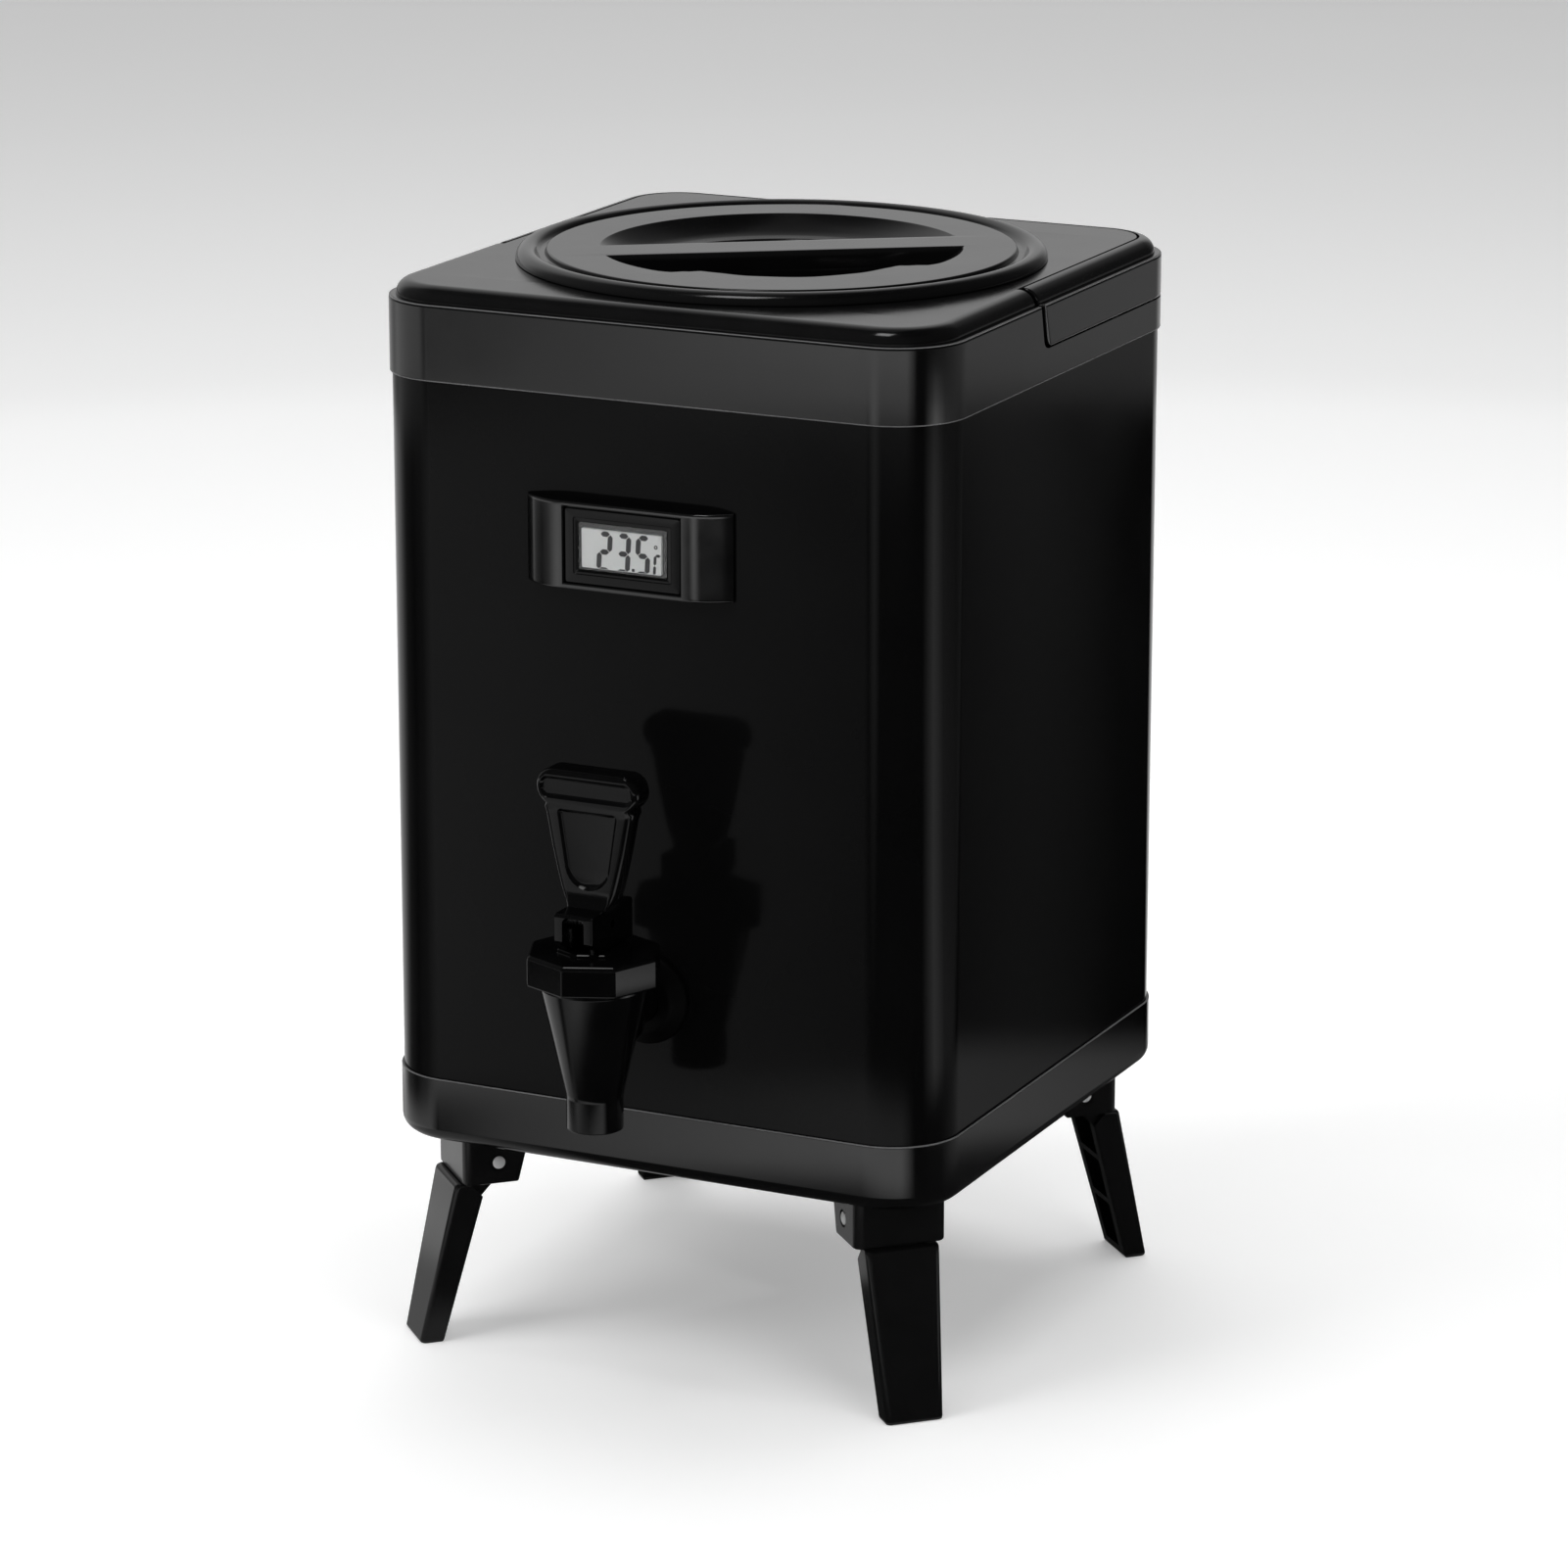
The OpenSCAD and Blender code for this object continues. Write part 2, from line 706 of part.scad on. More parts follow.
// The lip over the front recess: two flats with a round notch between them
module front_lip() {
    translate([0, 0, pocket_floor_z]) linear_extrude(pocket_depth) difference() {
        intersection() {
            circle(recess_r + 1);
            rect(-recess_r - 1, -recess_r - 1, recess_r + 1, -lip_flat);
        }
        translate([0, -notch_y]) circle(notch_r);
    }
}

module lid_cap() {
    color(PLASTIC_BLACK) rotate(bar_turn) {
        rotate_extrude() cap_section();
        intersection() {
            union() {
                grip_bar();
                front_lip();
            }
            rotate_extrude() polygon([
                [0, pocket_floor_z - lid_t], [pocket_r + lid_t, pocket_floor_z - lid_t],
                [pocket_r + lid_t, lid_top_z - ledge_depth - lid_t], [recess_r + 1, lid_top_z - lid_t],
                [recess_r + 1, lid_top_z], [0, lid_top_z]
            ]);
        }
    }
}

// The plug is a cup under the cap, with a groove for the gasket
module lid_plug() {
    color(PLASTIC_BLACK) rotate_extrude() difference() {
        union() {
            rect(plug_r - plug_t, plug_z0, plug_r, plug_z1);
            rect(0, plug_z0, plug_r, plug_z0 + plug_t);
            rect(groove_r - plug_t, groove_z0 - plug_t, plug_r, groove_z0 + groove_h + plug_t);
        }
        rect(groove_r, groove_z0, plug_r + 1, groove_z0 + groove_h);
    }
}

module lid_foam() {
    color(FOAM) rotate_extrude()
        rect(0, plug_z0 + plug_t, groove_r - plug_t - pocket_gap, pocket_floor_z - lid_t - pocket_gap);
}

// The gasket's section has a round outer lip and a flat back
module lid_gasket() {
    mid_z = groove_z0 + groove_h / 2;
    in_r = groove_r + free_gap;
    color(SILICONE) rotate_extrude() {
        rect(in_r, mid_z - gasket_h / 2, in_r + gasket_w - gasket_h / 2, mid_z + gasket_h / 2);
        intersection() {
            translate([in_r + gasket_w - gasket_h / 2, mid_z]) circle(gasket_h / 2);
            rect(in_r, mid_z - gasket_h / 2, in_r + gasket_w, mid_z + gasket_h / 2);
        }
    }
}

// Places a piece of the thermometer on the shell's front, about the housing's middle
module at_housing() { translate([-housing_left, -shell_half, housing_mid_z]) children(); }

// The housing's plan: a flat face that curves back to the shell at both ends
module housing_plan() {
    rect(-housing_flat, 0, housing_flat, housing_d);
    for (side = [-1, 1])
        intersection() {
            translate([side * housing_flat, housing_d - end_r]) circle(end_r);
            translate([side * housing_w / 4, housing_d / 2]) square([housing_w / 2, housing_d], center = true);
        }
}

module thermo_housing() {
    corner = 3;
    color(PLASTIC_BLACK) at_housing() difference() {
        intersection() {
            translate([0, 0, -housing_h / 2]) linear_extrude(housing_h) mirror([0, 1]) housing_plan();
            along_y() linear_extrude(housing_d) {
                square([housing_w, housing_h - 2 * corner], center = true);
                square([housing_w - 2 * corner, housing_h], center = true);
                for (x = [-1, 1], y = [-1, 1])
                    translate([x * (housing_w / 2 - corner), y * (housing_h / 2 - corner)]) circle(corner);
            }
        }
        along_y() translate([0, 0, housing_d - bezel_sink - bezel_t])
            linear_extrude(housing_d) square([module_w + 2 * pocket_gap, module_h + 2 * pocket_gap], center = true);
        along_y() translate([0, 0, -1])
            linear_extrude(housing_d) square([case_w + 2 * pocket_gap, case_h + 2 * pocket_gap], center = true);
    }
}

// The module: a bezel round the display on a case that reaches back through the shell
module thermo_module() {
    face = housing_d - bezel_sink;
    color(PLASTIC_BLACK) at_housing() along_y() difference() {
        union() {
            translate([0, 0, face - bezel_t]) linear_extrude(bezel_t) square([module_w, module_h], center = true);
            translate([0, 0, -case_d]) linear_extrude(case_d + face - bezel_t) square([case_w, case_h], center = true);
        }
        translate([0, 0, face - window_t]) linear_extrude(bezel_t)
            square([display_w + 2 * window_t, display_h + 2 * window_t], center = true);
        translate([0, 0, face - bezel_t - lcd_t]) linear_extrude(bezel_t + lcd_t + 1)
            square([display_w, display_h], center = true);
        translate([0, 0, case_wall - case_d]) linear_extrude(case_d + face - bezel_t - lcd_t - case_wall)
            square([case_w - 2 * case_wall, case_h - 2 * case_wall], center = true);
    }
}

// The clear window sits in the bezel's rebate
module lcd_window() {
    color([0.8, 0.85, 0.85, 0.4]) at_housing() along_y()
        translate([0, 0, housing_d - bezel_sink - window_t]) linear_extrude(window_t)
            square([display_w + 2 * window_t, display_h + 2 * window_t], center = true);
}

module lcd_panel() {
    color([0.62, 0.66, 0.62]) at_housing() along_y()
        translate([0, 0, housing_d - bezel_sink - bezel_t - lcd_t]) linear_extrude(lcd_t + bezel_t - window_t)
            square([display_w, display_h], center = true);
}

// Two button cells lie side by side on the case's back wall
module thermo_cells() {
    color(STEEL) at_housing() along_y() for (side = [-1, 1])
        translate([side * (cell_r + cell_gap / 2), 0, case_wall - case_d]) cylinder(h = cell_t, r = cell_r);
}

module thermo_probe() {
    color(STEEL) translate([-housing_left, -probe_y, probe_top - probe_l])
        cylinder(h = probe_l, r = probe_r);
}

module probe_lead() {
    color(RUBBER) translate([-housing_left, -probe_y, probe_top])
        cylinder(h = lead_l, r = lead_r);
}

// Places a piece of the tap on its upright axis
module at_tap() { translate([0, -tap_y, 0]) children(); }

module tap_body() {
    cone_z = spout_z0 + spout_l;
    color(PLASTIC_BLACK) difference() {
        union() {
            at_tap() rotate_extrude() {
                rect(0, spout_z0, spout_r, cone_z);
                polygon([[0, cone_z], [spout_r, cone_z], [chamber_r, bonnet_z0], [0, bonnet_z0]]);
                rect(0, bonnet_z0 - 1, neck_wall_r, bonnet_z0 + neck_rise);
            }
            translate([0, -shank_end, shank_mid_z]) along_y() cylinder(h = tap_y - shank_end, r = shank_r);
        }
        at_tap() rotate_extrude() {
            rect(0, spout_z0 - 1, outlet_r, seat_z + 1);
            rect(0, seat_z, bowl_r, bonnet_z1);
        }
        translate([0, 1 - shank_end, shank_mid_z]) along_y() cylinder(h = tap_y - shank_end + 1, r = waterway_r);
    }
}

// The flange is a domed washer between the tap and the shell
module tap_flange() {
    dome = 2;
    color(RUBBER) translate([0, -shell_half, shank_mid_z]) along_y() rotate_extrude() difference() {
        union() {
            rect(0, 0, flange_r, flange_t - dome);
            rect(0, 0, flange_r - dome, flange_t);
            translate([flange_r - dome, flange_t - dome]) circle(dome);
        }
        rect(-1, -1, shank_r, flange_t + 1);
    }
}

// A ring on the shank inside the tank, by its distance from the tank's wall
module shank_ring(from, thick) {
    translate([0, -(tank_half - tank_t - from - thick), shank_mid_z]) along_y() linear_extrude(thick)
        difference() {
            children();
            circle(shank_r);
        }
}

module tap_washer() { color(SILICONE) shank_ring(0, washer_t) circle(shank_r + washer_rim); }

module tap_nut() { color(PLASTIC_BLACK) shank_ring(washer_t, nut_t) circle(nut_flats / 2 / cos(30), $fn = 6); }

// The bonnet is an eight-sided cap with one corner to the front, which guides the stem
module tap_bonnet() {
    color(PLASTIC_BLACK) at_tap() difference() {
        union() {
            translate([0, 0, bonnet_z0]) cylinder(h = bonnet_h, r = bonnet_corner_r, $fn = 8);
            translate([0, 0, bonnet_z0]) cylinder(h = bonnet_h + boss_h, r = boss_r);
        }
        translate([0, 0, bonnet_z0 - 1]) cylinder(h = neck_rise + 1 + pocket_gap, r = neck_wall_r + pocket_gap);
        translate([0, 0, bonnet_z0 - 1]) cylinder(h = bonnet_h + 1 - bonnet_roof, r = bowl_r);
        translate([0, 0, bonnet_z0]) cylinder(h = 2 * bonnet_h, r = stem_r + pin_gap);
    }
}

// The stem ends in a flat lug with the eye for the lever's pin
module tap_stem() {
    color(STEEL) at_tap() difference() {
        union() {
            translate([0, 0, stem_z0]) cylinder(h = lever_pin_z - stem_z0, r = stem_r);
            translate([0, 0, lever_pin_z]) rotate([0, 90, 0]) cylinder(h = lug_t, r = lug_r, center = true);
        }
        translate([0, 0, lever_pin_z]) rotate([0, 90, 0])
            cylinder(h = 2 * lug_t, r = lever_pin_r + pin_gap, center = true);
    }
}

// The seat is a tapered rubber plug on the stem's end
module tap_seat() {
    low = seat_z + free_gap;
    color(SILICONE) at_tap() difference() {
        rotate_extrude() polygon([
            [0, low], [seat_r, low], [seat_r, low + seat_lip], [stem_r + seat_top, low + seat_h], [0, low + seat_h]
        ]);
        translate([0, 0, stem_z0]) cylinder(h = seat_h, r = stem_r);
    }
}

// The return spring, one helix of six-sided rings between the seat and the bonnet's roof
module tap_spring() {
    rings = 24 * coil_turns;
    sides = 6;
    span = spring_z1 - spring_z0 - 2 * wire_r - 2 * free_gap;
    ring = function(i) let (turn = 360 * i / 24)
        [for (k = [0:sides - 1]) let (a = 360 * k / sides)
            [(coil_r + wire_r * cos(a)) * cos(turn), (coil_r + wire_r * cos(a)) * sin(turn),
             spring_z0 + free_gap + wire_r + span * i / rings + wire_r * sin(a)]];
    points = [for (i = [0:rings]) each ring(i)];
    sides_of = function(i) [for (k = [0:sides - 1]) let (n = (k + 1) % sides) each [
        [i * sides + k, (i + 1) * sides + k, (i + 1) * sides + n],
        [i * sides + k, (i + 1) * sides + n, i * sides + n]]];
    ends = [for (k = [1:sides - 2]) each [
        [0, k, k + 1], [rings * sides, rings * sides + k + 1, rings * sides + k]]];
    color(STEEL) at_tap() polyhedron(points, concat([for (i = [0:rings - 1]) each sides_of(i)], ends));
}

// The lever's side view: the foot, which rolls on its front edge, and the paddle above it
module lever_side() {
    d = foot_d / 2;
    t = paddle_t / 2;
    polygon([
        [d, lever_z0], [d, foot_top - foot_ease], [d - foot_ease, foot_top], [t + web_t, foot_top],
        [t, foot_top + web_h], [t, paddle_top - bar_ease], [t + bar_back, paddle_top], [t + bar_back, lever_z1],
        [-t - bar_front, lever_z1], [-t - bar_front, paddle_top], [-t, paddle_top - bar_ease],
        [-t, foot_top + web_h], [-t - web_t, foot_top], [foot_ease - d, foot_top], [-d, foot_top - foot_ease],
        [-d, lever_z0 + foot_lift], [-foot_flat, lever_z0]
    ]);
}

// The lever's front view: the foot, the paddle that widens upwards and the crossbar with round ends
module lever_front() {
    wide = foot_top + paddle_low;
    polygon([
        [-foot_w / 2, lever_z0], [foot_w / 2, lever_z0], [foot_w / 2, foot_top], [paddle_w_low / 2, wide],
        [paddle_w_top / 2, paddle_top + 1], [-paddle_w_top / 2, paddle_top + 1], [-paddle_w_low / 2, wide],
        [-foot_w / 2, foot_top]
    ]);
    translate([0, lever_z1 - crossbar_h / 2]) slot_2d(crossbar_w, crossbar_h);
}

// The shallow recesses: a shield on the paddle and a slot on the crossbar
module lever_recesses() {
    top = paddle_top - shield_top;
    low = foot_top + shield_low;
    shield_w = paddle_w_top - 2 * shield_in;
    translate([0, low + shield_r]) circle(shield_r);
    polygon([[-shield_r, low + shield_r], [shield_r, low + shield_r], [shield_w / 2, top], [-shield_w / 2, top]]);
    translate([0, lever_z1 - crossbar_h / 2]) slot_2d(crossbar_w - 2 * bar_slot_in, crossbar_h - 2 * bar_slot_rim);
}

module tap_lever() {
    t = paddle_t / 2;
    color(PLASTIC_BLACK) at_tap() difference() {
        intersection() {
            translate([-body_w / 4, 0, 0]) rotate([90, 0, 90]) linear_extrude(body_w / 2) lever_side();
            translate([0, foot_d, 0]) along_y() linear_extrude(2 * foot_d) lever_front();
        }
        translate([0, paddle_recess - t, 0]) along_y() linear_extrude(foot_d) lever_recesses();
        translate([-slot_w / 2, -foot_d, lever_z0 - 1])
            cube([slot_w, foot_d + lug_r + 4 * free_gap, lever_pin_z - lever_z0 + lug_r + 1 + 2 * free_gap]);
        translate([0, 0, lever_pin_z]) rotate([0, 90, 0]) cylinder(h = 2 * foot_w, r = lever_pin_r, center = true);
    }
}

module tap_lever_pin() {
    color(STEEL) at_tap() translate([0, 0, lever_pin_z]) rotate([0, 90, 0])
        cylinder(h = foot_w, r = lever_pin_r, center = true);
}

// Extrudes a diagonal's side view across the leg, between two distances from its middle
module across(from, to) { rotate([90, 0, 0]) translate([0, 0, from]) linear_extrude(to - from) children(); }

// Cuts a diagonal's side view across a hole for the leg's pin
module leg_pin_hole(r, length) {
    translate([hinge_x, 0, hinge_z]) rotate([90, 0, 0]) cylinder(h = length, r = r, center = true);
}

// A bracket: a box under the base tray, open downwards and inwards, with the pin through its cheeks
module leg_bracket(turn) {
    draft = 5;
    edge = 3;
    inner_x = bracket_reach - bracket_d;
    color(PLASTIC_BLACK) rotate(turn) difference() {
        intersection() {
            across(-bracket_w / 2, bracket_w / 2) polygon([
                [inner_x, base_z], [inner_x + draft, bracket_z0], [bracket_reach, bracket_z0], [bracket_reach, base_z]
            ]);
            translate([0, 0, bracket_z0]) linear_extrude(bracket_h) {
                rect(inner_x, -bracket_w / 2, bracket_reach - edge, bracket_w / 2);
                rect(inner_x, edge - bracket_w / 2, bracket_reach, bracket_w / 2 - edge);
                for (side = [-1, 1]) translate([bracket_reach - edge, side * (bracket_w / 2 - edge)]) circle(edge);
            }
        }
        translate([inner_x - 1, -cheek_in, bracket_z0 - 1])
            cube([bracket_d + 1 - bracket_wall, 2 * cheek_in, bracket_h + 1 - base_wall]);
        leg_pin_hole(leg_pin_r, 2 * bracket_w);
        for (side = [-1, 1]) translate([screw_x, side * screw_side, base_z - 2 * base_wall])
            cylinder(h = 3 * base_wall, r = screw_r);
    }
}

module leg_pin(turn) { color(STEEL) rotate(turn) leg_pin_hole(leg_pin_r, bracket_w + 1); }

// A leg's side wall: an eye round the pin, running down behind the plate to the step
module leg_side() {
    slope = tan(leg_splay);
    neck_z = plate_z1 - leg_neck;
    face = function(z) plate_x1 + (plate_z1 - z) * slope;
    translate([hinge_x, hinge_z]) circle(leg_eye_r);
    polygon([
        [hinge_x - leg_eye_r * cos(leg_splay), hinge_z - leg_eye_r * sin(leg_splay)],
        [hinge_x, hinge_z], [hinge_x + leg_eye_r, hinge_z], [hinge_x + leg_eye_r, plate_z1],
        [face(plate_z1) - plate_t / 2, plate_z1], [face(foot_step) - plate_t / 2, foot_step],
        [face(foot_step) - leg_d_foot, foot_step], [face(neck_z) - leg_d_top, neck_z]
    ]);
}

// A leg's outer plate, and the thicker pad at its foot
module leg_plate() {
    slope = tan(leg_splay);
    polygon([
        [plate_x1, plate_z1], [foot_x, 0], [foot_x - foot_pad, 0], [foot_x - foot_pad - foot_step * slope, foot_step],
        [foot_x - plate_t - foot_step * slope, foot_step], [plate_x1 - plate_t, plate_z1]
    ]);
}

// A leg: a tapering plate with two sides that carry the pin, joined by cross ribs and open inwards
module leg(turn) {
    ribs = [0.35, 0.65];
    color(PLASTIC_BLACK) rotate(turn) difference() {
        union() {
            intersection() {
                across(-plate_w_top, plate_w_top) leg_plate();
                leg_front(0, plate_w_top);
            }
            intersection() {
                for (side = [-1, 1])
                    across(side > 0 ? 0 : -plate_w_top, side > 0 ? plate_w_top : 0) leg_side();
                difference() {
                    leg_front(leg_side_in, 2 * tang_out);
                    leg_front(leg_side_in + leg_side_t, 2 * (tang_out - leg_side_t));
                }
            }
            intersection() {
                across(-plate_w_top, plate_w_top) leg_side();
                leg_front(leg_side_in + 1, 2 * tang_out - 2);
                for (at = ribs) translate([0, -plate_w_top, at * plate_z1])
                    cube([2 * bracket_reach, 2 * plate_w_top, leg_side_t]);
            }
        }
        leg_pin_hole(leg_pin_r + pin_gap, 2 * bracket_w);
    }
}

// A leg's front view, drawn in from the plate's edges, straight above the plate
module leg_front(inset, top_w) {
    low = plate_w_foot / 2 - inset;
    high = min(plate_w_top / 2 - inset, top_w / 2);
    rotate([90, 0, 90]) linear_extrude(2 * bracket_reach) polygon([
        [-low, 0], [low, 0], [high, plate_z1], [high, base_z], [-high, base_z], [-high, plate_z1]
    ]);
}

// Two screws hold each bracket's roof to the tray's floor
module bracket_screws() {
    color(STEEL) at_screws() {
        cylinder(h = 2 * base_wall, r = screw_r);
        translate([0, 0, -screw_head_t]) cylinder(h = screw_head_t, r = screw_head_r);
    }
}

place() outer_shell();
place() foam_insulation();
place() inner_liner();
place() top_collar();
place() top_deck();
place() base_tray();
place() lid_cap();
place() lid_plug();
place() lid_foam();
place() lid_gasket();
place() carry_handle();
place() handle_pins();
place() thermo_housing();
place() thermo_module();
place() lcd_panel();
place() lcd_window();
place() thermo_cells();
place() thermo_probe();
place() probe_lead();
place() tap_body();
place() tap_flange();
place() tap_washer();
place() tap_nut();
place() tap_bonnet();
place() tap_stem();
place() tap_seat();
place() tap_spring();
place() tap_lever();
place() tap_lever_pin();
place() leg_bracket(FRONT_LEFT);  // leg_bracket_front_left
place() leg_bracket(FRONT_RIGHT);  // leg_bracket_front_right
place() leg_bracket(REAR_LEFT);  // leg_bracket_rear_left
place() leg_bracket(REAR_RIGHT);  // leg_bracket_rear_right
place() leg(FRONT_LEFT);  // leg_front_left
place() leg(FRONT_RIGHT);  // leg_front_right
place() leg(REAR_LEFT);  // leg_rear_left
place() leg(REAR_RIGHT);  // leg_rear_right
place() leg_pin(FRONT_LEFT);  // leg_pin_front_left
place() leg_pin(FRONT_RIGHT);  // leg_pin_front_right
place() leg_pin(REAR_LEFT);  // leg_pin_rear_left
place() leg_pin(REAR_RIGHT);  // leg_pin_rear_right
place() bracket_screws();
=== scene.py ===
"""Looks of an insulated beverage dispenser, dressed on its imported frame.

Sizes of the pieces are in millimetres about the body's axis. Sizes of the stage are in metres.
"""
import logging
import math
from dataclasses import dataclass
from enum import Enum
from typing import Callable, Iterable, Mapping, NamedTuple, Sequence

import bmesh
import bpy
from mathutils import Matrix, Vector
from mathutils.geometry import tessellate_polygon

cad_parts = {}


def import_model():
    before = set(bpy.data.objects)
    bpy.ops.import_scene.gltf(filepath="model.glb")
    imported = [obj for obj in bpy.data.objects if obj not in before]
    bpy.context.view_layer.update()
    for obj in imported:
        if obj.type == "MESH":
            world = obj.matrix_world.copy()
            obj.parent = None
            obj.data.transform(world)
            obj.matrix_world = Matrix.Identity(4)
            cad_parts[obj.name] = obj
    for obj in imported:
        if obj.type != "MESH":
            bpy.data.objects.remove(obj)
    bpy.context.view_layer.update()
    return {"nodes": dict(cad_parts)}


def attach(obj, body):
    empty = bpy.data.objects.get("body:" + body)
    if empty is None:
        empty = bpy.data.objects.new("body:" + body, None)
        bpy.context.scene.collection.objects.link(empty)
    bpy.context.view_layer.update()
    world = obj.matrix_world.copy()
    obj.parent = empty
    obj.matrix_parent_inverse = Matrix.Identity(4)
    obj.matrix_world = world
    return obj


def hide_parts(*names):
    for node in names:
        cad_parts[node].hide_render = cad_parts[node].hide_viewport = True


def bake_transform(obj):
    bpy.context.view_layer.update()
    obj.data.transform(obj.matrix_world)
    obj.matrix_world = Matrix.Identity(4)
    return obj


log = logging.getLogger("dispenser")

MM = 0.001
AXIS_Y = 34.2387

Point2 = tuple[float, float]
Point3 = tuple[float, float, float]
Corner = tuple[float, float, float]
Stops = tuple[Point2, ...]
Socket = bpy.types.NodeSocket
Inputs = Mapping[str | int, Socket | float | tuple[float, ...]]


class Body(str, Enum):
    """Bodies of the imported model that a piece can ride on."""

    MAIN = "body"
    LID = "lid"
    HANDLE = "handle"
    STEM = "stem"
    LEVER = "lever"
    LEG_FRONT_LEFT = "leg_front_left"
    LEG_FRONT_RIGHT = "leg_front_right"
    LEG_REAR_LEFT = "leg_rear_left"
    LEG_REAR_RIGHT = "leg_rear_right"


class Slot(str, Enum):
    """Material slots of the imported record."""

    STEEL_COAT = "black_steel"
    SATIN = "black_satin"
    GLOSS = "black_gloss"
    LEG = "leg_plastic"
    STEEL = "steel"
    RUBBER = "rubber"
    DISPLAY = "display"
    WINDOW = "window"


class Half(Enum):
    """The two finger recesses of the lid, by their side of the grip bar."""

    FRONT = -1
    REAR = 1


# Finishes


class Nodes:
    """Adds nodes to one tree and links them."""

    def __init__(self, tree: bpy.types.NodeTree) -> None:
        """Keeps the tree that the nodes go into."""
        self.tree = tree

    def feed(self, node: bpy.types.Node, inputs: Inputs) -> bpy.types.Node:
        """Links sockets to a node's inputs, or sets plain values there.

        Args:
            node: The node.
            inputs: The sockets or values, by the inputs' names or places.

        Returns:
            The node.
        """
        for key, value in inputs.items():
            if isinstance(value, Socket):
                self.tree.links.new(value, node.inputs[key])
            else:
                node.inputs[key].default_value = value
        return node

    def add(self, kind: str, inputs: Inputs | None = None, operation: str = "") -> bpy.types.Node:
        """Adds a node of a kind and feeds its inputs."""
        node = self.tree.nodes.new(f"ShaderNode{kind}")
        if operation:
            node.operation = operation
        return self.feed(node, inputs or {})

    def maths(self, operation: str, *values: Socket | float) -> Socket:
        """Adds one sum over sockets or plain numbers, and returns its result."""
        return self.add("Math", dict(enumerate(values)), operation).outputs[0]

    def blend(self, share: Socket, first: Socket, second: Socket) -> Socket:
        """Blends two levels by the second one's share, and returns the result."""
        return self.add("Mix", {"Factor": share, "A": first, "B": second}).outputs["Result"]

    def noise(self, place: Socket, size: float, detail: float) -> Socket:
        """Adds a noise with blobs of a size in millimetres, and returns its value."""
        return self.add("TexNoise", {"Vector": place, "Scale": 1.0 / (size * MM), "Detail": detail}).outputs["Fac"]

    def split(self, vector: Socket) -> tuple[Socket, Socket, Socket]:
        """Splits a vector into its three parts."""
        parts = self.add("SeparateXYZ", {"Vector": vector}).outputs
        return parts["X"], parts["Y"], parts["Z"]

    def azimuth(self, x: Socket, y: Socket) -> Socket:
        """Returns a direction's azimuth, from 0 at the back by the left to 0.5 at the front."""
        turn = self.maths("ARCTAN2", x, self.maths("MULTIPLY", y, -1.0))
        return self.maths("MULTIPLY_ADD", turn, 1 / (2 * math.pi), 0.5)

    def ramp(self, source: Socket, stops: Iterable[tuple[float, float | Point3]]) -> Socket:
        """Maps a value from 0 to 1 to colours.

        Args:
            source: The value's socket.
            stops: Places from 0 to 1, each with a colour or a grey level.

        Returns:
            The socket with the colour.
        """
        wanted = list(stops)
        node = self.add("ValToRGB", {"Fac": source})
        marks = node.color_ramp.elements
        while len(marks) < len(wanted):
            marks.new(0.5)
        for mark, (place, level) in zip(marks, wanted):
            mark.position = place
            mark.color = (*(level if isinstance(level, tuple) else (level,) * 3), 1.0)
        return node.outputs["Color"]


NOISE_SPAN: Point2 = (0.3, 0.7)
PATCH_DETAIL = 3.0
GRAIN_DETAIL = 2.0
SHADER = "Principled BSDF"


@dataclass(frozen=True)
class Finish:
    """A procedural surface: a colour that drifts slightly, a broken roughness and a fine bump.

    The grain is the size of the bump in millimetres and the drift the size of the colour's patches.
    """

    name: str
    colour: Point3
    drift_to: Point3
    roughness: Point2
    grain: float
    relief: float
    drift: float
    metallic: float = 0.0
    ior: float = 1.46
    stretch: Point3 = (1.0, 1.0, 1.0)
    transmission: float = 0.0

    def material(self) -> bpy.types.Material:
        """Makes the node material, or returns it where it is made already.

        Returns:
            The material with this finish's name.
        """
        made = bpy.data.materials.get(self.name)
        if made:
            return made
        made = bpy.data.materials.new(self.name)
        made.use_nodes = True
        nodes = Nodes(made.node_tree)
        place = nodes.add("TexCoord").outputs["Object"]
        place = nodes.add("Mapping", {"Vector": place, "Scale": self.stretch}).outputs["Vector"]
        patches = nodes.noise(place, self.drift, PATCH_DETAIL)
        grain = nodes.noise(place, self.grain, GRAIN_DETAIL)
        bump = nodes.add("Bump", {"Strength": 1.0, "Distance": self.relief * MM, "Height": grain})
        nodes.feed(made.node_tree.nodes[SHADER], {
            "Base Color": nodes.ramp(patches, zip(NOISE_SPAN, (self.colour, self.drift_to))),
            "Roughness": nodes.ramp(patches, zip(NOISE_SPAN, self.roughness)),
            "Metallic": self.metallic,
            "IOR": self.ior,
            "Transmission Weight": self.transmission,
            "Normal": bump.outputs["Normal"],
        })
        return made


COATED_STEEL = Finish("coated_steel", (0.0026, 0.0026, 0.0027), (0.0034, 0.0034, 0.0035), (0.07, 0.11), grain=3.0,
                      relief=0.003, drift=60.0, ior=1.2)
SATIN_PLASTIC = Finish("satin_plastic", (0.002, 0.002, 0.0021), (0.003, 0.003, 0.0031), (0.09, 0.12), grain=0.35,
                       relief=0.004, drift=25.0, ior=1.55)
LID_PLASTIC = Finish("lid_plastic", (0.002, 0.002, 0.0021), (0.003, 0.003, 0.0031), (0.13, 0.17), grain=0.3,
                     relief=0.005, drift=20.0, ior=1.55)
TAP_PLASTIC = Finish("tap_plastic", (0.0012, 0.0012, 0.0013), (0.002, 0.002, 0.0021), (0.09, 0.13), grain=0.8,
                     relief=0.004, drift=12.0, ior=1.35)
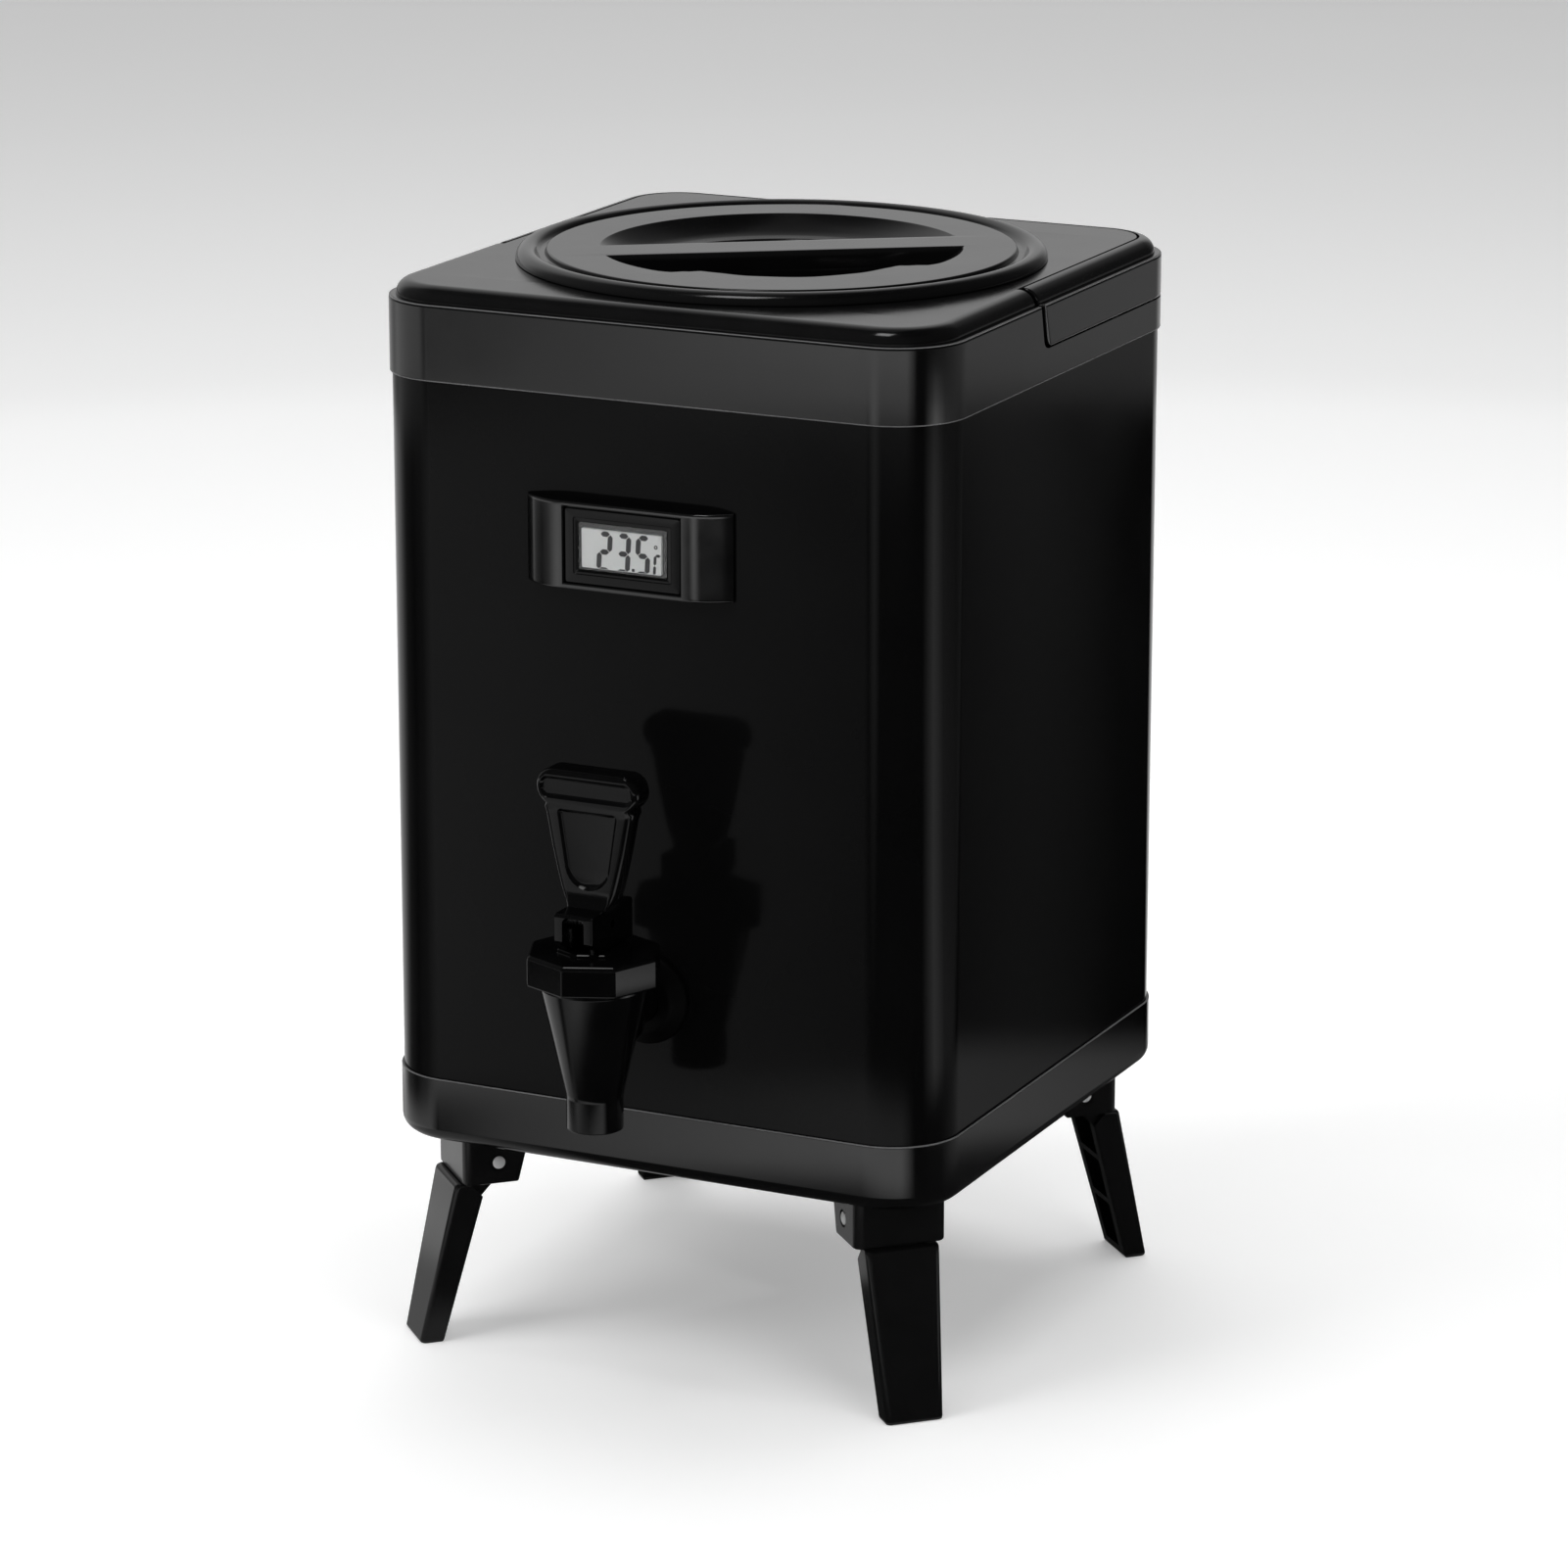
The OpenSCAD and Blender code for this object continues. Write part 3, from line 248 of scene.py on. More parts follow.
HOUSING_PLASTIC = Finish("housing_plastic", (0.0012, 0.0012, 0.0013), (0.002, 0.002, 0.0021), (0.12, 0.16), grain=0.8,
                         relief=0.004, drift=12.0, ior=1.75)
LEG_PLASTIC = Finish("leg_moulding", (0.0045, 0.0045, 0.0046), (0.006, 0.006, 0.0061), (0.15, 0.2), grain=0.4,
                     relief=0.004, drift=15.0, ior=1.4)
INNER_PLASTIC = Finish("inner_moulding", (0.03, 0.03, 0.031), (0.038, 0.038, 0.039), (0.4, 0.5), grain=0.5,
                       relief=0.01, drift=15.0)
TANK_STEEL = Finish("tank_steel", (0.55, 0.55, 0.56), (0.66, 0.66, 0.67), (0.2, 0.34), grain=1.0, relief=0.003,
                    drift=5.0, metallic=1.0, ior=2.5, stretch=(1.0, 1.0, 14.0))
PIN_STEEL = Finish("pin_steel", (0.6, 0.6, 0.61), (0.72, 0.72, 0.73), (0.18, 0.3), grain=0.3, relief=0.004,
                   drift=2.0, metallic=1.0, ior=2.5)
RIVET_STEEL = Finish("rivet_steel", (0.78, 0.78, 0.78), (0.86, 0.86, 0.86), (0.5, 0.6), grain=0.3, relief=0.004,
                     drift=2.0, metallic=0.3, ior=2.0)
BLACK_RUBBER = Finish("black_rubber", (0.0008, 0.0008, 0.0008), (0.0015, 0.0015, 0.0015), (0.42, 0.55), grain=0.5,
                      relief=0.015, drift=6.0, ior=1.2)
# Painted highlight: a pale grey for the thin beads that stand in for the glints along rounded edges.
PAINTED_GLINT = Finish("painted_glint", (0.13, 0.13, 0.132), (0.17, 0.17, 0.172), (0.4, 0.5), grain=0.5, relief=0.004,
                   drift=40.0)
PALE_SILICONE = Finish("pale_silicone", (0.7, 0.7, 0.67), (0.78, 0.78, 0.75), (0.4, 0.5), grain=0.6, relief=0.01,
                       drift=10.0)
RIGID_FOAM = Finish("rigid_foam", (0.72, 0.6, 0.34), (0.82, 0.72, 0.46), (0.8, 0.9), grain=0.8, relief=0.25,
                    drift=6.0)
DISPLAY_GREY = Finish("display_grey", (0.92, 0.93, 0.92), (0.95, 0.96, 0.95), (0.35, 0.42), grain=0.5, relief=0.003,
                      drift=8.0)
DISPLAY_INK = Finish("display_ink", (0.02, 0.02, 0.022), (0.03, 0.03, 0.033), (0.4, 0.5), grain=0.3, relief=0.002,
                     drift=2.0)
CLEAR_WINDOW = Finish("clear_window", (0.96, 0.97, 0.97), (0.98, 0.98, 0.98), (0.03, 0.06), grain=2.0, relief=0.002,
                      drift=15.0, transmission=1.0, ior=1.45)
STUDIO_FLOOR = Finish("studio_floor", (0.86, 0.86, 0.86), (0.88, 0.88, 0.88), (0.6, 0.7), grain=4.0, relief=0.01,
                      drift=400.0)


# Plane geometry


def rounded(corners: Sequence[Corner], steps: int = 4, closed: bool = True) -> list[Point2]:
    """Rounds the corners of a polyline with arcs.

    Args:
        corners: Each corner's two coordinates and its radius.
        steps: Segments of each arc.
        closed: Whether the last corner joins the first.

    Returns:
        The points of the rounded line.
    """
    most = 0.499
    line: list[Point2] = []
    for i, (x, y, radius) in enumerate(corners):
        if radius <= 0 or (not closed and i in (0, len(corners) - 1)):
            line.append((x, y))
            continue
        corner = Vector((x, y))
        a = Vector(corners[i - 1][:2]) - corner
        b = Vector(corners[(i + 1) % len(corners)][:2]) - corner
        angle = a.angle(b)
        reach = min(radius / math.tan(angle / 2), most * a.length, most * b.length)
        radius = reach * math.tan(angle / 2)
        a.normalize()
        b.normalize()
        middle = corner + (a + b).normalized() * (radius / math.sin(angle / 2))
        start, end = corner + a * reach - middle, corner + b * reach - middle
        turn = math.atan2(start.x * end.y - start.y * end.x, start.dot(end))
        for k in range(steps + 1):
            spot = middle + Matrix.Rotation(turn * k / steps, 2) @ start
            line.append((spot.x, spot.y))
    return line


def inset(loop: Sequence[Point2], by: float) -> list[Point2]:
    """Moves a closed loop's points inwards along their normals.

    Args:
        loop: The loop, drawn counter-clockwise.
        by: The distance.

    Returns:
        The smaller loop, with as many points.
    """
    least = 0.5
    moved = []
    for i, (x, y) in enumerate(loop):
        before, after = loop[i - 1], loop[(i + 1) % len(loop)]
        a = Vector((x - before[0], y - before[1])).normalized()
        b = Vector((after[0] - x, after[1] - y)).normalized()
        normal = Vector((-a.y - b.y, a.x + b.x)).normalized()
        stretch = 1.0 / max(least, normal.dot(Vector((-a.y, a.x))))
        moved.append((x + normal.x * by * stretch, y + normal.y * by * stretch))
    return moved


def upright(low: Corner, high: Corner) -> list[Corner]:
    """Lists the corners of a shape that is alike left and right, from half widths, heights and radii."""
    (a, y, r), (b, z, s) = low, high
    return [(-a, y, r), (a, y, r), (b, z, s), (-b, z, s)]


def lying(near: Corner, far: Corner) -> list[Corner]:
    """Lists the corners of a shape that is alike on both sides of x, from places, half widths and radii."""
    (x, a, r), (u, b, s) = near, far
    return [(x, -a, r), (u, -b, s), (u, b, s), (x, a, r)]


def box_loop(width: float, height: float, radius: float, steps: int = 4) -> list[Point2]:
    """Draws a rectangle with rounded corners about the origin, counter-clockwise."""
    x, y = width / 2, height / 2
    return rounded(upright((x, -y, radius), (x, y, radius)), steps)


def arc(middle: Point2, radius: float, start: float, end: float, steps: int) -> list[Point2]:
    """Draws an arc.

    Args:
        middle: Its centre.
        radius: Its radius.
        start: The first angle in degrees.
        end: The last angle in degrees.
        steps: How many segments it has.

    Returns:
        The arc's points.
    """
    angles = [math.radians(start + (end - start) * k / steps) for k in range(steps + 1)]
    return [(middle[0] + radius * math.cos(a), middle[1] + radius * math.sin(a)) for a in angles]


def circle(radius: float, steps: int) -> list[Point2]:
    """Draws a circle about the origin, counter-clockwise."""
    turns = (2 * math.pi * k / steps for k in range(steps))
    return [(radius * math.cos(a), radius * math.sin(a)) for a in turns]


def on_circle(loop: Sequence[Point2], radius: float) -> list[Point2]:
    """Puts each point of a loop on a circle about the origin, at the point's own angle."""
    angles = [math.atan2(y, x) for x, y in loop]
    return [(radius * math.cos(a), radius * math.sin(a)) for a in angles]


def lifted(loop: Iterable[Point2], z: float, y: float = 0.0) -> list[Point3]:
    """Puts a flat loop at a height, and at a distance behind the axis."""
    return [(px, py + y, z) for px, py in loop]


# Meshes


class Station(NamedTuple):
    """A place on the body's plan: a corner's axis or a point abreast of it, and the way outwards."""

    x: float
    y: float
    out_x: float
    out_y: float

    def at(self, reach: float, z: float) -> Point3:
        """Returns the point at a distance outwards from the corner's axis."""
        return (self.x + reach * self.out_x, self.y + reach * self.out_y, z)


def placed(name: str, data: bpy.types.ID) -> bpy.types.Object:
    """Makes an object of its data and puts it in the scene."""
    made = bpy.data.objects.new(name, data)
    bpy.context.scene.collection.objects.link(made)
    return made


class PieceMesh:
    """Gathers vertices and faces about the body's axis, and makes one piece of them.

    Points in the same thousandth of a millimetre are one vertex.
    """

    WELD = 1000

    def __init__(self) -> None:
        """Starts with no points and no faces."""
        self._index: dict[tuple[int, ...], int] = {}
        self.points: list[Point3] = []
        self.faces: list[tuple[int, ...]] = []

    def point(self, at: Point3) -> int:
        """Returns the vertex at a place, and adds it where there is none."""
        key = tuple(round(part * self.WELD) for part in at)
        if key not in self._index:
            self._index[key] = len(self.points)
            self.points.append(at)
        return self._index[key]

    def face(self, *places: Point3) -> None:
        """Adds one face, without the corners that fall together."""
        corners = tuple(dict.fromkeys(self.point(place) for place in places))
        if len(corners) > 2:
            self.faces.append(corners)

    def skin(self, rows: Sequence[Sequence[Point3]], wrap_rows: bool = False, wrap_columns: bool = False) -> None:
        """Joins rows of points with quads.

        Args:
            rows: Rows of equally many points.
            wrap_rows: Whether the last row joins the first.
            wrap_columns: Whether each row's last point joins its first.
        """
        for i in range(len(rows) if wrap_rows else len(rows) - 1):
            a, b = rows[i], rows[(i + 1) % len(rows)]
            for k in range(len(a) if wrap_columns else len(a) - 1):
                n = (k + 1) % len(a)
                self.face(a[k], a[n], b[n], b[k])

    def sweep(self, stations: Sequence[Station], section: Sequence[Point2], closed: bool = False) -> None:
        """Draws a section of reach and height all round the stations."""
        self.skin([[s.at(x, z) for s in stations] for x, z in section], wrap_rows=closed, wrap_columns=True)

    def fill(self, outline: Sequence[Point3], holes: Sequence[Sequence[Point3]] = ()) -> None:
        """Fills a flat outline, with or without holes in it."""
        loops = [[Vector(p) for p in loop] for loop in (outline, *holes)]
        flat = [p for loop in (outline, *holes) for p in loop]
        for triangle in tessellate_polygon(loops):
            self.face(*(flat[i] for i in triangle))

    def loft(self, loops: Sequence[Sequence[Point3]], cap_first: bool = True) -> None:
        """Joins closed loops one after the other and caps the ends."""
        self.skin(loops, wrap_columns=True)
        if cap_first:
            self.fill(loops[0])
        self.fill(loops[-1])

    def turn(self, profile: Sequence[Point2], middle: Point3, along: str = "z", steps: int = 96,
             closed: bool = True) -> None:
        """Turns a profile of radius and height about an axis.

        Args:
            profile: The profile's points.
            middle: A point of the axis.
            along: The axis, z for upright or y for front to back, in which the height runs forwards.
            steps: Segments round the axis.
            closed: Whether the profile's last point joins its first.
        """
        x, y, z = middle
        rows = [[(x + c, y + s, z + height) if along == "z" else (x + c, y - height, z + s)
                 for c, s in circle(radius, steps)] for radius, height in profile]
        self.skin(rows, wrap_rows=closed, wrap_columns=True)

    def piece(self, name: str, finish: Finish, body: Body, slot: Slot, stands_for: Sequence[str] = (),
              cut: Sequence["PieceMesh"] = (), join: Sequence["PieceMesh"] = (), turned: float = 0.0,
              sharp: float = 50.0, bends: tuple[Body, Point3, Point3] | None = None) -> None:
        """Makes the object, shades it and seats it on its body.

        Args:
            name: The piece's name.
            finish: Its surface.
            body: The body that it rides on.
            slot: The record's slot; not used.
            stands_for: The nodes that it replaces.
            cut: Solids to take away from it.
            join: Solids to unite with it.
            turned: A turn about the body's axis, in degrees.
            sharp: Edges that bend more than this stay sharp.
            bends: For a piece between two bodies, the other body and the places where the change starts and ends; only
                whether it is given is read, and such a piece rides on no body.
        """
        made = self._object(name, turned)
        for kind, solids in (("UNION", join), ("DIFFERENCE", cut)):
            for k, solid in enumerate(solids):
                self._combine(made, kind, solid._object(f"{name}_{kind.lower()}_{k}", turned))
        shape = made.data
        shape.name = name
        shape.materials.clear()
        shape.materials.append(finish.material())
        shape.polygons.foreach_set("material_index", [0] * len(shape.polygons))
        shape.polygons.foreach_set("use_smooth", [True] * len(shape.polygons))
        shape.set_sharp_from_angle(angle=math.radians(sharp))
        made.modifiers.new("even_shading", "WEIGHTED_NORMAL").keep_sharp = True
        if bends:
            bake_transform(made)
        else:
            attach(made, body.value)
        if stands_for:
            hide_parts(*stands_for)
        log.info("%s: %d faces on %s", name, len(shape.polygons), body.value)

    @staticmethod
    def _combine(made: bpy.types.Object, kind: str, tool: bpy.types.Object) -> None:
        """Unites an object with a tool or takes the tool away from it, and removes the tool."""
        step = made.modifiers.new(kind.lower(), "BOOLEAN")
        step.operation = kind
        step.solver = "EXACT"
        step.object = tool
        graph = bpy.context.evaluated_depsgraph_get()
        shaped = bpy.data.meshes.new_from_object(made.evaluated_get(graph))
        made.modifiers.clear()
        old = made.data
        made.data = shaped
        bpy.data.meshes.remove(old)
        bpy.data.objects.remove(tool)

    def _object(self, name: str, turned: float) -> bpy.types.Object:
        """Makes a bare object in metres in the part's frame, with its faces outwards."""
        turn = Matrix.Rotation(math.radians(turned), 3, "Z")
        shift = Vector((0.0, AXIS_Y, 0.0))
        mesh = bpy.data.meshes.new(name)
        mesh.from_pydata([(turn @ Vector(p) + shift) * MM for p in self.points], [], self.faces)
        work = bmesh.new()
        work.from_mesh(mesh)
        bmesh.ops.recalc_face_normals(work, faces=work.faces)
        work.to_mesh(mesh)
        work.free()
        return placed(name, mesh)


@dataclass(frozen=True)
class BodyPlan:
    """The rounded square that the jacket, the tray, the collar and the deck follow, and its main heights."""

    half: float = 118.0
    corner: float = 28.0
    steps: int = 20
    base_z: float = 85.0
    line_z: float = 111.0
    collar_z: float = 386.0

    def round(self, first: int = 0, corners: int = 4) -> list[Station]:
        """Lists the stations of some corners, counter-clockwise.

        Args:
            first: The first corner, 0 for rear right, 1 rear left, 2 front left and 3 front right.
            corners: How many corners.

        Returns:
            The stations.
        """
        k = self.half - self.corner
        stations = []
        for q in range(first, first + corners):
            x, y = ((k, k), (-k, k), (-k, -k), (k, -k))[q]
            for i in range(self.steps + 1):
                a = math.radians(90 * q + 90 * i / self.steps)
                stations.append(Station(x, y, math.cos(a), math.sin(a)))
        return stations

    def side(self, right: bool, y: float) -> Station:
        """Returns the station on one side at a distance behind the middle."""
        k = self.half - self.corner
        return Station(k if right else -k, y, 1.0 if right else -1.0, 0.0)


@dataclass(frozen=True)
class HandleCut:
    """The line at which the handle's room ends: it leans forward and has a rounded lower corner."""

    front: float
    low: float
    rim: float = 415.0
    lean: float = 12.0
    radius: float = 4.5

    def y(self, z: float) -> float:
        """Returns the line's place at a height, from the middle towards the rear."""
        lean = math.radians(self.lean)
        mid_z = self.low + self.radius
        if z >= mid_z - self.radius * math.sin(lean):
            return -self.front - (z - self.rim) * math.tan(lean)
        mid_y = -self.front - (mid_z - self.rim) * math.tan(lean) + self.radius / math.cos(lean)
        return mid_y - math.sqrt(max(0.0, self.radius ** 2 - (z - mid_z) ** 2))


# The dispenser's sub-assemblies


@dataclass
class Shell:
    """The steel jacket and the plastic tray under it.

    The edge is the pale bead's distance inside the corner, its distance from the joint and its radius; the bead is a
    painted highlight, a grey line that stands in for the glint on the rounded edge. The panel lists the rings of the
    tray's floor by radius and rise.
    """

    plan: BodyPlan = BodyPlan()
    inset: float = 1.0
    sheet: float = 0.8
    lap: float = 6.0
    edge: Point3 = (0.32, 0.12, 0.34)
    seam: Point2 = (7.0, 0.6)
    seam_root: float = -0.3
    seam_round: float = 0.5
    seam_lap: float = 2.0
    line_round: float = 0.45
    base_round: float = 6.0
    floor_in: float = 12.0
    panel: tuple[Point2, ...] = ((85.0, 0.0), (84.3, 0.3), (84.0, 1.2), (70.0, 1.2), (69.0, 0.5), (67.0, 0.5),
                                 (66.0, 1.2), (30.0, 1.2), (29.0, 0.5), (27.0, 0.5), (26.0, 1.2), (6.0, 1.2),
                                 (5.5, 1.7))

    def build(self) -> None:
        """Makes the jacket, its rear seam, the base tray and the painted highlight lines along the edges."""
        self._jacket()
        self._seam()
        self._tray()
        self._painted_glints()

    def _jacket(self) -> None:
        """Sweeps the sheet's section round the plan."""
        outer = self.plan.corner - self.inset
        inner = outer - self.sheet
        low, high = self.plan.line_z - self.lap, self.plan.collar_z + self.lap
        mesh = PieceMesh()
        mesh.sweep(self.plan.round(), [(outer, low), (outer, high), (inner, high), (inner, low)], closed=True)
        mesh.piece("jacket", COATED_STEEL, Body.MAIN, Slot.STEEL_COAT, ["outer_shell"])

    def _seam(self) -> None:
        """Lays the folded seam down the jacket's rear."""
        half = self.seam[0] / 2
        section = rounded(upright((half, self.seam_root, 0), (half, self.seam[1], self.seam_round)), 3)
        ends = (self.plan.line_z - self.seam_lap, self.plan.collar_z + self.seam_lap)
        mesh = PieceMesh()
        mesh.loft([lifted(section, z, self.plan.half - self.inset) for z in ends])
        mesh.piece("jacket_seam", COATED_STEEL, Body.MAIN, Slot.STEEL_COAT)

    def _tray(self) -> None:
        """Sweeps the tray's wall and closes its floor with a shallow round panel."""
        plan, outer = self.plan, self.plan.corner
        inner = outer - self.inset
        wall = rounded([(inner, plan.line_z - self.lap, 0), (inner, plan.line_z, 0),
                        (outer, plan.line_z, self.line_round), (outer, plan.base_z, self.base_round),
                        (outer - self.floor_in, plan.base_z, 0)], 6, closed=False)
        stations = plan.round()
        mesh = PieceMesh()
        mesh.sweep(stations, wall)
        edge = [s.at(*wall[-1]) for s in stations]
        flat = [(x, y) for x, y, _ in edge]
        rows = [edge] + [lifted(on_circle(flat, radius), plan.base_z + up) for radius, up in self.panel]
        mesh.skin(rows, wrap_columns=True)
        mesh.fill(rows[-1])
        mesh.fill([s.at(*wall[0]) for s in stations])
        mesh.piece("tray", SATIN_PLASTIC, Body.MAIN, Slot.SATIN, ["base_tray"])

    def _painted_glints(self) -> None:
        """Lays fine pale beads along the edges of the tray and of the collar, as painted highlights that stand in for
        the edges' glints.
        """
        inside, off, radius = self.edge
        # Painted highlight: each bead is a pale line where a glint would fall on the edge.
        for name, z in (("tray_painted_glint", self.plan.line_z - off), ("collar_painted_glint", self.plan.collar_z + off)):
            mesh = PieceMesh()
            mesh.sweep(self.plan.round(), arc((self.plan.corner - inside, z), radius, 0, 315, 7), closed=True)
            mesh.piece(name, PAINTED_GLINT, Body.MAIN, Slot.SATIN)


@dataclass
class Top:
    """The collar round the jacket's top, the raised deck inside it and the carry handle between them.

    The ends list how the handle's tips are rounded, by inset and distance from the cut. The bead is a pale line that
    paints the edges' highlight; its distance from an edge comes before its radius.
    """

    plan: BodyPlan = BodyPlan()
    rim_z: float = 415.0
    deck_z: float = 421.0
    pocket_z: float = 398.0
    handle_z: float = 398.5
    wall: float = 2.7
    lap: float = 6.0
    lap_in: float = 1.0
    shelf_t: float = 2.5
    deck_edge: float = 18.5
    deck_round: float = 0.4
    shoulder: float = 19.3
    rise: float = 6.0
    skirt: float = 3.0
    mouth_r: float = 86.0
    mouth_round: float = 0.5
    line_round: float = 0.45
    rim_round: float = 1.2
    foot_round: float = 0.8
    foot_steps: int = 6
    ends: tuple[Point2, ...] = ((0.9, 0.0), (0.35, 0.25), (0.0, 0.9))
    # The painted highlight bead: its distance from an edge and its radius.
    bead: Point2 = (0.3, 0.2)
    glint_steps: int = 16
    pocket_cut: HandleCut = HandleCut(22.0, 398.0)
    handle_cut: HandleCut = HandleCut(18.0, 398.5)

    def build(self) -> None:
        """Makes the collar, the deck and the handle."""
        self._collar()
        self._deck()
        self._handle()

    def _front(self, cut: HandleCut, reach: float, z: float) -> list[Point3]:
        """Lists a row's points round the front, from the left cut to the right one."""
        ends = [self.plan.side(False, cut.y(z)), *self.plan.round(2, 2), self.plan.side(True, cut.y(z))]
        return [s.at(reach, z) for s in ends]

    def _rear(self, cut: HandleCut, reach: float, z: float) -> list[Point3]:
        """Lists a row's points round the rear, from the right cut to the left one."""
        ends = [self.plan.side(True, cut.y(z)), *self.plan.round(0, 2), self.plan.side(False, cut.y(z))]
        return [s.at(reach, z) for s in ends]

    def _loop(self, reach: float, z: float, at: float | None = None) -> list[Point3]:
        """Lists a row's points all round, with the pocket's ends as they are at its floor or at another height."""
        y = self.pocket_cut.y(self.pocket_z if at is None else at)
        ends = [self.plan.side(True, y), *self.plan.round(0, 2), self.plan.side(False, y), *self.plan.round(2, 2)]
        return [s.at(reach, z) for s in ends]

    def _around(self, mesh: PieceMesh, section: Sequence[Point2]) -> None:
        """Draws a section of reach and height all round."""
        mesh.skin([self._loop(x, z) for x, z in section], wrap_columns=True)

    @staticmethod
    def _close_ends(mesh: PieceMesh, outer: Sequence[list[Point3]], inner: Sequence[list[Point3]]) -> None:
        """Closes a wall's two ends between its outer and its inner rows."""
        for end in (0, -1):
            mesh.skin([[row[end] for row in outer], [row[end] for row in inner]])

    def _glint_outline(self, middle: Point2) -> list[Point2]:
        """Draws the section of a fine pale bead that paints an edge's highlight."""
        return arc(middle, self.bead[1], 0, 300, 5)

    def _glint_along_edge(self, row: Callable[[HandleCut, float, float], list[Point3]], cut: HandleCut,
              z: float) -> list[list[Point3]]:
        """Lists the sections of a painted highlight bead along an outer edge.

        Args:
            row: What lists the edge's points, front or rear.
            cut: The line at which the edge ends.
            z: The bead's height.

        Returns:
            The sections from one end to the other.
        """
        section = self._glint_outline((self.plan.corner - self.bead[0], z))
        return [list(points) for points in zip(*(row(cut, x, up) for x, up in section))]

    def _collar(self) -> None:
        """Sweeps the band all round, and its upper wall round the front up to the handle's room."""
        c, cut, low = self.plan.corner, self.pocket_cut, self.pocket_z
        back, foot = c - self.lap_in, self.plan.collar_z
        inside, inner = c - self.wall, self.deck_edge - self.skirt
        mesh = PieceMesh()
        band = rounded([(back, foot + self.lap, 0), (back, foot, 0), (c, foot, self.line_round), (c, low, 0)],
                       closed=False)
        self._around(mesh, band)
        self._around(mesh, [(inner, low), (inner, low - self.shelf_t), (inside, low - self.shelf_t),
                            (inside, foot + self.lap), band[0]])
        mesh.skin([self._rear(cut, c, low), self._rear(cut, inside, low)])
        self._around(mesh, [(inside, low), (inner, low)])
        steps = self.foot_steps
        heights = [low + cut.radius * k / steps for k in range(steps)] + [low + cut.radius + 1]
        outer = [(c, z) for z in heights]
        outer += arc((c - self.rim_round, self.rim_z - self.rim_round), self.rim_round, 0, 90, 5)
        rows_out = [self._front(cut, x, z) for x, z in outer]
        rows_in = [self._front(cut, inside, z) for _, z in outer]
        mesh.skin(rows_out)
        mesh.skin(rows_in)
        mesh.skin([rows_out[-1], rows_in[-1]])
        self._close_ends(mesh, rows_out, rows_in)
        mesh.piece("collar", SATIN_PLASTIC, Body.MAIN, Slot.SATIN, ["top_collar"])
        # Painted highlight: a pale bead along the collar's top edge.
        rim = PieceMesh()
        rim.loft(self._glint_along_edge(self._front, cut, self.rim_z - self.bead[0]))
        rim.piece("rim_painted_glint", PAINTED_GLINT, Body.MAIN, Slot.SATIN)

    def _deck(self) -> None:
        """Makes the deck's flat top with its mouth, its shoulder round the front and its wall beside the handle."""
        cut, low, top = self.pocket_cut, self.pocket_z, self.deck_z
        inner, under = self.deck_edge - self.skirt, top - self.skirt
        steps = self.foot_steps
        mesh = PieceMesh()
        curve = arc((self.shoulder, self.rim_z), self.rise, 90, 0, 10)
        curve += [(self.shoulder + self.rise, low + cut.radius * k / steps) for k in range(steps, -1, -1)]
        side = [(self.deck_edge - max(0.0, z - top + self.deck_round), z) for _, z in curve]
        rows_out = [self._front(cut, x, z) for x, z in curve]
        rows_in = [self._front(cut, x, z) for x, z in side]
        mesh.skin(rows_out)
        mesh.skin([self._rear(cut, x, z) for x, z in side])
        self._close_ends(mesh, rows_out, rows_in)
        mesh.skin([rows_out[0], rows_in[0]])
        mesh.skin([rows_out[-1], rows_in[-1]])
        lower = self._loop(inner, under)
        mesh.skin([self._loop(side[-1][0], low), self._loop(inner, low), lower], wrap_columns=True)
        mouth = [lifted(circle(self.mouth_r + wide, 96), z)
                 for wide, z in ((self.mouth_round, top), (0.0, top - self.mouth_round), (0.0, under))]
        mesh.skin(mouth, wrap_columns=True)
        mesh.fill(self._loop(side[0][0], top, top), [mouth[0]])
        mesh.fill(lower, [mouth[-1]])
        mesh.piece("deck", LID_PLASTIC, Body.MAIN, Slot.SATIN, ["top_deck"])

    def _handle(self) -> None:
        """Sweeps the handle's section round the rear, with rounded ends, and lays pale beads along its edges as painted
        highlights.
        """
        c, cut = self.plan.corner, self.handle_cut
        line = rounded([(self.shoulder, self.handle_z, self.foot_round), (c, self.handle_z, self.foot_round),
                        (c, self.rim_z, self.rim_round), (self.shoulder + self.rise, self.rim_z, 0)])[:-1]
        line += arc((self.shoulder, self.rim_z), self.rise, 0, 90, 10)
        right, left = ([[self.plan.side(is_right, cut.y(z) + back).at(x, z) for x, z in inset(line, by)]
                        for by, back in self.ends] for is_right in (True, False))
        mesh = PieceMesh()
        mesh.loft(right + [[s.at(x, z) for x, z in line] for s in self.plan.round(0, 2)] + left[::-1])
        mesh.piece("handle", SATIN_PLASTIC, Body.HANDLE, Slot.SATIN, ["carry_handle"])
        # Painted highlight: pale beads along the handle's edges, where glints would fall.
        off = self.bead[0]
        low, high = self.handle_z + off, self.rim_z - off
        heights = [low + (high - low) * k / self.glint_steps for k in range(self.glint_steps + 1)]
        edge = PieceMesh()
        for z in (low, high):
            edge.loft(self._glint_along_edge(self._rear, cut, z))
        for is_right in (True, False):
            edge.loft([[self.plan.side(is_right, cut.y(z) + y).at(x, z) for x, y in self._glint_outline((c - off, off))]
                       for z in heights])
        edge.piece("handle_painted_glint", PAINTED_GLINT, Body.HANDLE, Slot.SATIN)


